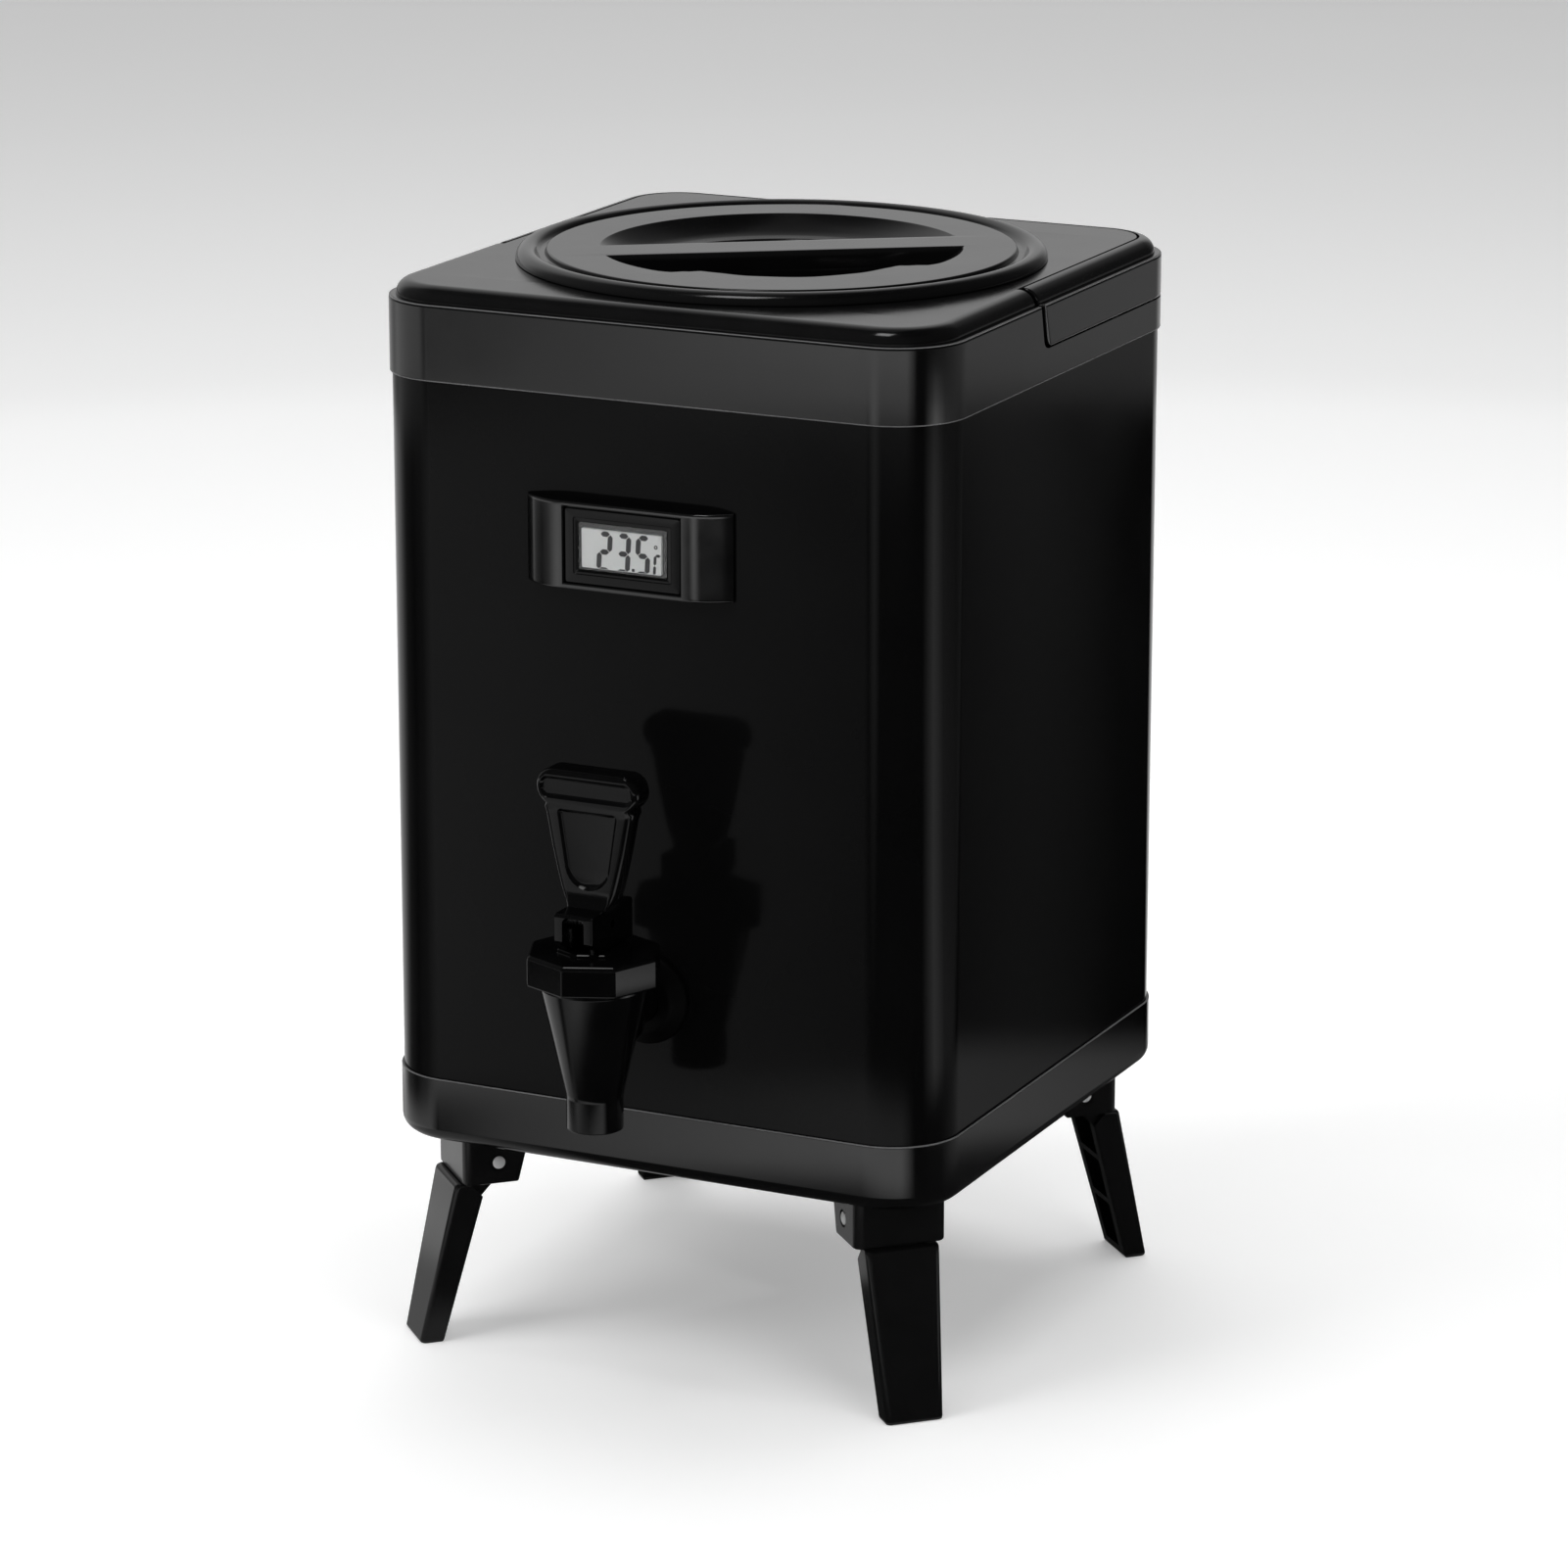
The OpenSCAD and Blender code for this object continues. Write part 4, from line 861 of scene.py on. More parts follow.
@dataclass
class Lid:
    """The twist lid: a rolled bead, a groove, a flat ring and two finger recesses beside a grip bar.

    A recess and its underside are lists of levels: how far they are inside the arc and beside the bar, how deep they
    are, and how much of the waved lip they show. The lip lists how far it reaches in, by the angle from the middle.
    """

    seat_z: float = 421.3
    top_z: float = 425.0
    bead_r: float = 4.4
    bead_mid: float = 97.6
    groove: tuple[Corner, ...] = ((92.8, 422.8, 0.8), (90.6, 422.8, 0.7), (90.0, 425.0, 0.9), (87.0, 425.0, 0.0))
    under_r: float = 80.0
    steps: int = 160
    recess_r: float = 70.0
    bar_half: float = 11.0
    bar_turn: float = 34.0
    arc_steps: int = 72
    chord_steps: int = 12
    recess: tuple[tuple[float, float, float, float], ...] = (
        (0.0, -1.0, 0.0, 1.0), (0.3, -0.35, 0.12, 1.0), (0.8, 0.0, 0.6, 1.0), (4.0, 0.2, 3.0, 0.8),
        (7.6, 0.3, 5.3, 0.5), (10.5, 0.4, 6.7, 0.28), (12.2, 0.4, 7.2, 0.18), (14.4, 0.4, 7.4, 0.0),
        (15.1, 0.5, 7.8, 0.0), (15.5, 0.5, 8.6, 0.0), (16.2, 0.6, 18.6, 0.0), (16.8, 0.9, 19.6, 0.0),
        (18.6, 2.4, 20.0, 0.0))
    underside: tuple[tuple[float, float, float, float], ...] = (
        (1.0, -2.2, 0.0, 0.0), (8.0, -2.0, 4.0, 0.0), (11.6, -1.9, 6.0, 0.0), (13.4, -1.8, 8.6, 0.0),
        (13.8, -1.7, 17.4, 0.0), (15.0, -1.2, 18.8, 0.0))
    lip: Stops = ((0.0, 5.0), (18.0, 6.6), (33.0, 9.2), (38.0, 9.6), (42.0, 5.8), (46.5, 0.8), (51.0, 0.0),
                  (180.0, 0.0))

    def build(self) -> None:
        """Makes the cap."""
        mesh = PieceMesh()
        rolled = arc((self.bead_mid, self.seat_z), self.bead_r, 0, 150, 18)
        edge = rounded([(*rolled[-1], 0), *self.groove], closed=False)
        profile = [(self.under_r, self.seat_z), *rolled, *edge[1:]]
        mesh.turn(profile, (0, 0, 0), steps=self.steps, closed=False)
        for radius, z, levels in ((profile[-1][0], self.top_z, self.recess),
                                  (self.under_r, self.seat_z, self.underside)):
            holes = []
            for half in Half:
                loops = [self._half_moon(half, self.recess_r - inside, self.bar_half + beside, z - deep, wave)
                         for inside, beside, deep, wave in levels]
                mesh.loft(loops, cap_first=False)
                holes.append(loops[0])
            mesh.fill(lifted(circle(radius, self.steps), z), holes)
        mesh.piece("lid_cap_dressed", LID_PLASTIC, Body.LID, Slot.SATIN, ["lid_cap"], turned=self.bar_turn)

    def _half_moon(self, half: Half, radius: float, chord: float, z: float, wave: float) -> list[Point3]:
        """Draws one level of a recess: an arc and the straight side along the bar.

        Args:
            half: The side of the bar.
            radius: The arc's radius.
            chord: The straight side's distance from the axis.
            z: The level's height.
            wave: How far the front's waved lip shows at this level, from 0 to 1.

        Returns:
            The closed loop.
        """
        lean = math.degrees(math.asin(chord / radius))
        points: list[Point2] = []
        for k in range(self.arc_steps + 1):
            a = lean + (180 - 2 * lean) * k / self.arc_steps
            r = radius - (wave * self._lip_at(abs(a - 90)) if half is Half.FRONT else 0.0)
            points.append((r * math.cos(math.radians(a)), r * math.sin(math.radians(a))))
        first, last = points[0][0], points[-1][0]
        points += [(last + (first - last) * k / self.chord_steps, chord) for k in range(1, self.chord_steps)]
        return [(x, half.value * y, z) for x, y in points]

    def _lip_at(self, turn: float) -> float:
        """Returns how far the front lip reaches in at an angle from the recess's middle."""
        for (a, low), (b, high) in zip(self.lip, self.lip[1:]):
            if turn <= b:
                t = (turn - a) / (b - a)
                return low + (high - low) * t * t * (3 - 2 * t)
        return 0.0


@dataclass
class Thermometer:
    """The panel thermometer: its housing, the module's bezel, the display and the window.

    The digits are listed by place, size and lit bars. The bars are lettered from a at the top clockwise to f, with g
    across the middle, and listed by their ends in half widths and half heights.
    """

    left: float = 5.5
    face_y: float = 117.0
    mid_z: float = 331.0
    width: float = 85.5
    height: float = 33.5
    depth: float = 8.4
    run: float = 17.0
    run_steps: int = 10
    lip: float = 1.2
    edge: float = 0.9
    edge_share: float = 0.6
    room: float = 0.3
    bevel: float = 0.5
    module: Point2 = (48.0, 28.6)
    module_y: float = 7.6
    module_back: float = 5.2
    glass: Point2 = (36.7, 18.3)
    display: Point2 = (33.2, 15.0)
    display_at: Point2 = (-0.75, -0.65)
    panel_y: float = 5.4
    panel_t: float = 1.15
    digit: Point2 = (2.1, 6.85)
    digit_low: float = -8.3
    stroke: float = 1.4
    bar_gap: float = 0.2
    bar_point: float = 0.7
    slant: float = 0.06
    sill: float = 0.25
    ink_t: float = 0.12
    digits: tuple[tuple[float, float, str], ...] = ((-7.7, 1.0, "abged"), (0.0, 1.0, "abgcd"), (8.2, 1.0, "afgcd"),
                                                    (14.3, 0.55, "afe"))
    point: Point2 = (4.2, -7.2)
    point_size: Point2 = (1.1, 0.2)
    degree: Point2 = (13.6, 2.4)
    degree_r: Point2 = (0.75, 0.35)

    BARS = {"a": ((-1, 1), (1, 1)), "b": ((1, 1), (1, 0)), "c": ((1, 0), (1, -1)), "d": ((-1, -1), (1, -1)),
            "e": ((-1, 0), (-1, -1)), "f": ((-1, 1), (-1, 0)), "g": ((-1, 0), (1, 0))}

    def build(self) -> None:
        """Makes the housing, the bezel, the display with its digits, and the window."""
        self._housing()
        self._bezel()
        self._display()
        self._digits()
        self._window()

    def _at(self, x: float, out: float, z: float) -> Point3:
        """Places a point by its distances from the housing's middle and from the jacket."""
        return (x - self.left, -self.face_y - out, self.mid_z + z)

    def _raised(self, loop: Iterable[Point2], out: float, at: Point2 = (0.0, 0.0)) -> list[Point3]:
        """Puts a flat loop at a distance out from the jacket, and beside the housing's middle."""
        return [self._at(x + at[0], out, z + at[1]) for x, z in loop]

    def _plate(self, levels: Sequence[tuple[float, float, float, float]], at: Point2 = (0.0, 0.0)) -> PieceMesh:
        """Lofts a plate.

        Args:
            levels: The width, the height, the corners' radius and the distance out of each level.
            at: The plate's place beside the housing's middle.

        Returns:
            The plate's mesh.
        """
        mesh = PieceMesh()
        mesh.loft([self._raised(box_loop(w, h, r), out, at) for w, h, r, out in levels])
        return mesh

    def _housing(self) -> None:
        """Makes the housing's rolled face round the module's recess."""
        drop = self.depth - self.lip
        radius = (self.run ** 2 + drop ** 2) / (2 * drop)
        ends = []
        for k in range(self.run_steps + 1):
            along = self.run * k / self.run_steps
            ends.append((self.width / 2 - self.run + along, self.depth - radius + math.sqrt(radius ** 2 - along ** 2)))
        wide, tall = (size / 2 + self.room for size in self.module)
        rim_x, rim_z = wide + self.bevel, tall + self.bevel
        lines = [(-x, out) for x, out in reversed(ends)] + [(-rim_x, self.depth), (rim_x, self.depth)] + ends
        columns = []
        for x, out in lines:
            r = min(self.edge, out * self.edge_share)
            upper = [(rim_z, out), *arc((self.height / 2 - r, out - r), r, 90, 0, 4), (self.height / 2, 0.0)]
            columns.append([self._at(x, d, z) for z, d in [(-z, d) for z, d in reversed(upper)] + upper])
        mesh = PieceMesh()
        hole = (len(ends), len(columns[0]) // 2 - 1)
        for i, (a, b) in enumerate(zip(columns, columns[1:])):
            for k in range(len(a) - 1):
                if (i, k) != hole:
                    mesh.face(a[k], b[k], b[k + 1], a[k + 1])
        mesh.loft([self._raised(box_loop(2 * x, 2 * z, 0), out) for x, z, out in (
            (rim_x, rim_z, self.depth), (wide, tall, self.depth - self.bevel), (wide, tall, self.module_back))],
            cap_first=False)
        mesh.fill(columns[0])
        mesh.fill(columns[-1])
        mesh.skin([[c[0] for c in columns], [c[-1] for c in columns]])
        mesh.piece("thermometer_housing", HOUSING_PLASTIC, Body.MAIN, Slot.GLOSS, ["thermo_housing"], sharp=35.0)

    def _bezel(self) -> None:
        """Makes the module's stepped frame."""
        w, h = self.module
        gw, gh = self.glass
        y = self.module_y
        self._plate([
            (w, h, 1.0, self.module_back), (w, h, 1.0, y - 0.5), (w - 0.3, h - 0.3, 0.9, y - 0.15),
            (w - 1.0, h - 1.0, 0.8, y), (gw + 4.2, gh + 3.6, 0.8, y), (gw + 3.6, gh + 3.0, 0.7, y - 0.35),
            (gw + 0.8, gh + 0.8, 0.6, y - 0.35), (gw, gh, 0.5, y - 0.6), (gw, gh, 0.5, self.panel_y),
        ]).piece("thermometer_bezel", TAP_PLASTIC, Body.MAIN, Slot.GLOSS, ["thermo_module"], sharp=40.0)

    def _display(self) -> None:
        """Makes the pale panel."""
        w, h = self.display
        low, corner = self.panel_y, 0.6
        panel = self._plate([(w, h, corner, low), (w, h, corner, low + 1.0),
                             (w - 0.3, h - 0.3, corner, low + self.panel_t)], self.display_at)
        panel.piece("display_panel", DISPLAY_GREY, Body.MAIN, Slot.DISPLAY, ["lcd_panel"])

    def _digits(self) -> None:
        """Makes the seven-part digits, the decimal point and the degree's ring."""
        faces = (self.panel_y + self.panel_t, self.panel_y + self.panel_t + self.ink_t)
        ink = PieceMesh()
        for x, size, lit in self.digits:
            for part in lit:
                ink.loft([self._raised(self._bar(x, size, part), out) for out in faces])
        side, corner = self.point_size
        ink.loft([self._raised(box_loop(side, side, corner), out, self.point) for out in faces])
        outer, inner = (arc(self.degree, r, 0, 337.5, 15) for r in self.degree_r)
        ink.skin([self._raised(line, out) for line, out in zip((outer, outer, inner, inner), faces + faces[::-1])],
                 wrap_rows=True, wrap_columns=True)
        ink.piece("display_digits", DISPLAY_INK, Body.MAIN, Slot.DISPLAY)

    def _bar(self, x: float, size: float, part: str) -> list[Point2]:
        """Draws one bar of a digit, cut off at the panel's sill.

        Args:
            x: The digit's middle.
            size: Its size against a full digit.
            part: The bar's letter.

        Returns:
            The bar's outline.
        """
        w, h = (length * size for length in self.digit)
        a, b = (Vector((px * w, pz * h)) for px, pz in self.BARS[part])
        along = (b - a).normalized()
        across = Vector((-along.y, along.x))
        a, b = a + along * self.bar_gap * size, b - along * self.bar_gap * size
        t = self.stroke * size * self.bar_point
        shape = [a, a + (along + across) * t, b + (across - along) * t, b, b - (across + along) * t,
                 a + (along - across) * t]
        sill = self.display_at[1] - self.display[1] / 2 + self.sill
        return [(p.x + x + self.slant * p.y, max(p.y + self.digit_low + h, sill)) for p in shape]

    def _window(self) -> None:
        """Makes the window over the digits."""
        w, h = self.glass
        y, corner, play = self.module_y, 0.5, 0.1
        glass = self._plate([(w - play, h - play, corner, y - 0.95), (w - play, h - play, corner, y - 0.5),
                             (w - 0.5, h - 0.5, corner, y - 0.4)])
        glass.piece("display_window", CLEAR_WINDOW, Body.MAIN, Slot.WINDOW, ["lcd_window"])


@dataclass
class Tap:
    """The lever tap: its body with the shank, the flange, the eight-sided bonnet, the lever and the spring.

    The paddle's levels are listed by height, width, front, back and corner radius, from the foot's top upwards and from
    the crossbar's underside downwards. The bonnet's levels are an inset and a height.
    """

    y: float = -160.5
    jacket_y: float = -117.0
    spout_z: float = 118.2
    cone_z: float = 131.2
    bonnet_z: float = 175.6
    bonnet_h: float = 12.0
    bonnet_r: float = 25.977
    bonnet_corner: float = 1.3
    spout_r: float = 10.75
    outlet_r: float = 7.5
    chamber_r: float = 20.3
    chamber_rim: float = 2.0
    bowl_r: float = 12.0
    seat_z: float = 150.0
    shank_z: float = 157.0
    shank_r: float = 8.0
    shank_lap: float = 2.0
    flare_r: float = 12.0
    flange_r: float = 18.0
    flange_t: float = 7.0
    flange_dome: float = 5.0
    boss_r: float = 14.0
    boss_h: float = 1.6
    stem_hole: Point2 = (2.9, 3.0)
    pin_z: float = 198.6
    lever_z: float = 189.5
    foot_top: float = 204.9
    lever_top: float = 256.6
    foot: Point2 = (16.0, 33.0)
    foot_edge: tuple[Point2, ...] = ((0.6, 0.0), (0.18, 0.18), (0.0, 0.6))
    chin: Point2 = (8.0, 4.6)
    gate_half: float = 4.5
    gate_over: Point2 = (4.0, 5.0)
    gate_run: Point2 = (-30.0, 5.6)
    crossbar: Point2 = (42.5, 14.0)
    bar_depth: Point2 = (-5.5, 6.5)
    bar_corner: float = 2.6
    bar_soft: tuple[float, ...] = (0.0, 0.0, 0.0, 0.0, 0.0, 0.0, 0.0, 0.0, 0.25, 0.9, 2.0)
    neck: tuple[tuple[float, ...], ...] = (
        (-4.0, 15.4, -6.6, 6.6, 1.5), (0.2, 16.6, -6.4, 6.4, 2.0), (1.6, 18.6, -5.5, 5.6, 2.4),
        (4.0, 21.6, -4.8, 4.9, 2.8), (7.0, 24.0, -4.5, 4.5, 2.8), (12.0, 26.6, -4.5, 4.5, 2.8),
        (22.0, 31.2, -4.5, 4.5, 2.8))
    yoke: tuple[tuple[float, ...], ...] = ((-3.0, 36.0, -4.5, 4.6, 2.8), (-0.8, 37.2, -4.8, 5.6, 2.8))
    shield_face: float = -4.5
    spring: Point2 = (159.6, 184.3)
    coil_r: float = 6.6
    coil_turns: int = 5
    coil_steps: int = 32
    wire_r: float = 0.6
    wire_sides: int = 10

    def build(self) -> None:
        """Makes the tap's pieces."""
        self._body()
        self._flange()
        self._bonnet()
        self._lever()
        self._spring()

    def _body(self) -> None:
        """Turns the cone and its spout, and joins the flared shank to it."""
        cone = PieceMesh()
        cone.turn(rounded([(self.outlet_r, self.spout_z, 0.5), (self.spout_r, self.spout_z, 0.6),
                           (self.spout_r, self.cone_z, 8), (self.chamber_r, self.bonnet_z - self.chamber_rim, 1.5),
                           (self.chamber_r, self.bonnet_z, 0), (self.bowl_r, self.bonnet_z, 0),
                           (self.bowl_r, self.seat_z, 0), (self.outlet_r, self.seat_z, 0)], 5), (0, self.y, 0))
        shank = PieceMesh()
        lap = self.shank_lap
        length = self.jacket_y - self.y - lap
        shank.turn(rounded([(0, lap, 0), (self.shank_r, lap, 0), (self.shank_r, length - 26, 6),
                            (self.flare_r, length - 14, 4), (self.flare_r, length - 12, 0), (0, length - 12, 0)], 5,
                           closed=False),
                   (0, self.jacket_y + lap, self.shank_z), along="y", steps=64, closed=False)
        cone.piece("tap_body_dressed", TAP_PLASTIC, Body.MAIN, Slot.GLOSS, ["tap_body"], join=[shank], sharp=40.0)

    def _flange(self) -> None:
        """Turns the domed flange against the jacket."""
        r, t = self.flange_r, self.flange_t
        profile = rounded([(self.shank_r, 0, 0), (r, 0, 0.4), (r, t * 0.45, 2.2), (r - self.flange_dome, t, 4),
                           (self.shank_r, t, 0.4)], 5)
        mesh = PieceMesh()
        mesh.turn(profile, (0, self.jacket_y, self.shank_z), along="y", steps=80)
        mesh.piece("tap_flange_dressed", BLACK_RUBBER, Body.MAIN, Slot.RUBBER, ["tap_flange"])

    def _bonnet(self) -> None:
        """Lofts the eight-sided bonnet, a corner to the front, with bevelled edges and the low boss on it."""
        h, r, top = self.bonnet_h, self.boss_r, self.bonnet_h + self.boss_h
        hole_r, hole_deep = self.stem_hole
        levels = []
        for by, up in ((1.0, 0.0), (0.3, 0.3), (0.0, 1.0), (0.0, h - 1.6), (0.35, h - 0.7), (1.2, h)):
            corners = [(x, y, self.bonnet_corner) for x, y in circle(self.bonnet_r - by, 8)]
            levels.append((rounded(corners, 3), up))
        last = levels[-1][0]
        for radius, up in ((r + 0.4, h), (r, h + 0.3), (r, top - 0.4), (r - 0.4, top), (hole_r, top),
                           (hole_r, top - hole_deep)):
            levels.append((on_circle(last, radius), up))
        mesh = PieceMesh()
        mesh.loft([lifted(loop, self.bonnet_z + up, self.y) for loop, up in levels])
        mesh.piece("tap_bonnet_dressed", TAP_PLASTIC, Body.MAIN, Slot.GLOSS, ["tap_bonnet"], sharp=30.0)

    def _lever(self) -> None:
        """Lofts the foot and the paddle with its crossbar, joins them and cuts the slot and the recesses."""
        w, d = self.foot[0] / 2, self.foot[1] / 2
        low, top = self.lever_z, self.foot_top
        chin_y, chin_z = self.chin
        side = rounded([(-chin_y, low, 1.6), (d, low, 1.0), (d, top, 1.5), (-d, top, 1.5), (-d, low + chin_z, 1.2)])
        edges = [(by, back - w) for by, back in self.foot_edge]
        edges += [(by, w - back) for by, back in reversed(self.foot_edge)]
        foot = PieceMesh()
        foot.loft([[(x, self.y + y, z) for y, z in inset(side, by)] for by, x in edges])
        under_pin, over_pin = self.gate_over
        gate = rounded(upright((self.gate_half, low - under_pin, 0), (self.gate_half, self.pin_z + over_pin, 2.2)), 5)
        slot = PieceMesh()
        slot.loft([[(x, self.y + y, z) for x, z in gate] for y in self.gate_run])
        bar_w, bar_h = self.crossbar
        under, rise = self.lever_top - bar_h, self.lever_top - bar_h / 2
        reach, tall, corner = bar_w / 2 - 2.0, 4.2, 3.6
        shield = upright((8.0, top + 6.4, 9.6), (12.6, under - 1.0, 1.8))
        pill = upright((reach, rise - tall, corner), (reach, rise + tall, corner))
        cuts = [slot, self._sunk(shield, self.shield_face, 1.4), self._sunk(pill, self.bar_depth[0], 1.2)]
        foot.piece("tap_lever_dressed", TAP_PLASTIC, Body.LEVER, Slot.GLOSS, ["tap_lever"],
                   cut=cuts, join=[self._paddle()], sharp=40.0)

    def _paddle(self) -> PieceMesh:
        """Lofts the paddle upwards from the foot, with the crossbar's round ends."""
        bar_w, bar_h = self.crossbar
        levels = [(self.foot_top + up, *rest) for up, *rest in self.neck]
        levels += [(self.lever_top - bar_h + up, *rest) for up, *rest in self.yoke]
        ends = arc(((bar_w - bar_h) / 2, self.lever_top - bar_h / 2), bar_h / 2, -62, 90, len(self.bar_soft) - 1)
        front, back = self.bar_depth
        levels += [(z, 2 * half, front + soft, back - soft, self.bar_corner - soft)
                   for (half, z), soft in zip(ends, self.bar_soft)]
        mesh = PieceMesh()
        mesh.loft([lifted(box_loop(width, back - front, radius, 5), z, self.y + (front + back) / 2)
                   for z, width, front, back, radius in levels])
        return mesh

    def _sunk(self, corners: Sequence[Corner], face: float, depth: float) -> PieceMesh:
        """Makes the solid that cuts a recess with sloping sides into the lever's front.

        Args:
            corners: The recess's outline in x and z, with its corners' radii.
            face: The front's distance from the tap's axis.
            depth: The recess's depth.

        Returns:
            The cutting solid.
        """
        outline = rounded(corners, 6)
        levels = ((-1.0, -3.0), (0.0, 0.0), (0.9, depth * 0.75), (1.5, depth))
        tool = PieceMesh()
        tool.loft([[(x, self.y + face + deep, z) for x, z in inset(outline, by)] for by, deep in levels])
        return tool

    def _spring(self) -> None:
        """Winds the return spring between the bonnet and the seat."""
        low, high = self.spring
        rings = self.coil_steps * self.coil_turns
        loops = []
        for i in range(rings + 1):
            turn = 2 * math.pi * i / self.coil_steps
            z = low + self.wire_r + (high - low - 2 * self.wire_r) * i / rings
            wire = arc((self.coil_r, z), self.wire_r, 0, 360 - 360 / self.wire_sides, self.wire_sides - 1)
            loops.append([(r * math.cos(turn), self.y + r * math.sin(turn), up) for r, up in wire])
        mesh = PieceMesh()
        mesh.loft(loops)
        start, end = ((0.0, (self.y + AXIS_Y) * MM, z * MM) for z in self.spring)
        mesh.piece("tap_spring_wound", PIN_STEEL, Body.STEM, Slot.STEEL, ["tap_spring"], bends=(Body.MAIN, start, end))


@dataclass
class Leg:
    """A folding leg: the bracket under its corner, the channelled leg in it and the rivet that it turns on.

    It is drawn along a diagonal, with x outwards, and turned to its corner. Pairs of sizes are at the floor and at the
    leg's top.
    """

    name: str
    direction: float
    plan: BodyPlan = BodyPlan()
    bracket_in: float = 18.3
    bracket_w: float = 36.8
    bracket_d: float = 27.0
    bracket_h: float = 19.5
    bracket_wall: float = 5.4
    bracket_roof: float = 3.0
    bracket_round: float = 3.6
    bracket_edge: tuple[Point2, ...] = ((0.9, 0.0), (0.25, 0.15), (0.0, 0.48))
    draft: float = 5.0
    pin_in: float = 14.0
    pin_up: float = 8.5
    pin_r: float = 2.5
    pin_room: float = 0.15
    pin_proud: float = 0.5
    dome: tuple[Point2, ...] = ((0.0, 0.0), (0.9, 0.05), (1.7, 0.2), (2.3, 0.45), (2.5, 0.6))
    sink: Point2 = (3.5, 0.5)
    splay: float = 12.5
    proud: float = 2.5
    gap: float = 0.3
    plate_w: Point2 = (23.0, 30.0)
    plate_t: float = 3.0
    depth: Point2 = (9.5, 12.3)
    neck: float = 6.0
    neck_depth: float = 6.0
    wall: float = 5.0
    rib: float = 2.6
    ribs_at: Point2 = (0.35, 0.65)
    eye_r: float = 6.8
    tang: Point2 = (10.0, 12.6)

    def build(self) -> None:
        """Makes the bracket, the leg and the rivet."""
        self._bracket()
        self._leg()
        self._rivet()

    @property
    def reach(self) -> float:
        """How far out along the diagonal the bracket's outer face is."""
        return (self.plan.half - self.plan.corner) * math.sqrt(2) + self.plan.corner - self.bracket_in

    @property
    def low_z(self) -> float:
        """The height of the bracket's lower edge."""
        return self.plan.base_z - self.bracket_h

    @property
    def top(self) -> float:
        """The height of the leg's top."""
        return self.low_z - self.gap

    @property
    def knee(self) -> float:
        """The height at which the leg's neck starts."""
        return self.top - self.neck

    @property
    def hinge(self) -> Point3:
        """The middle of the rivet."""
        return (self.reach - self.pin_in, 0.0, self.low_z + self.pin_up)

    def _face(self, z: float) -> float:
        """Returns how far out the leg's outer face is at a height."""
        return self.reach + self.proud + (self.top - z) * math.tan(math.radians(self.splay))

    def _half(self, z: float) -> float:
        """Returns half the leg's width at a height."""
        return (self.plate_w[0] + (self.plate_w[1] - self.plate_w[0]) * z / self.top) / 2

    def _back(self, z: float) -> float:
        """Returns how far out the leg's inner edge is at a height."""
        deep = self.depth[0] + (self.depth[1] - self.depth[0]) * min(z, self.knee) / self.knee
        return self._face(z) - deep + max(0.0, z - self.knee) * (self.depth[1] - self.neck_depth) / self.neck

    def _bar(self, radius: float, first: float, last: float) -> PieceMesh:
        """Makes a round bar about the rivet's axis, between two distances from the diagonal."""
        bar = PieceMesh()
        bar.turn([(0.0, first), (radius, first), (radius, last), (0.0, last)], self.hinge, along="y", steps=32,
                 closed=False)
        return bar

    def _bracket(self) -> None:
        """Lofts the bracket with rounded corners, and cuts the leg's room and the rivet's sinks."""
        half, low, base = self.bracket_w / 2, self.low_z, self.plan.base_z
        loops = []
        for z, by in ((base, 0.0), *((low + up, by) for up, by in self.bracket_edge)):
            inner = self.reach - self.bracket_d + self.draft * (base - z) / self.bracket_h
            outline = rounded(lying((inner, half, 0.7), (self.reach, half, self.bracket_round)), 8)
            loops.append(lifted(inset(outline, by), z))
        mesh = PieceMesh()
        mesh.loft(loops)
        cheek, inside = half - self.bracket_wall, self.reach - self.bracket_wall
        outline = rounded(lying((self.reach - 2 * self.bracket_d, cheek, 0), (inside, cheek, 0.8)), 3)
        room = PieceMesh()
        room.loft([lifted(outline, z) for z in (low - 2, base - self.bracket_roof)])
        radius, deep = self.sink
        sinks = [self._bar(radius, side * (half - deep), side * (half + 1)) for side in (-1, 1)]
        mesh.piece(f"bracket_{self.name}", LEG_PLASTIC, Body.MAIN, Slot.LEG, [f"leg_bracket_{self.name}"],
                   cut=[room, *sinks], turned=self.direction, sharp=35.0)

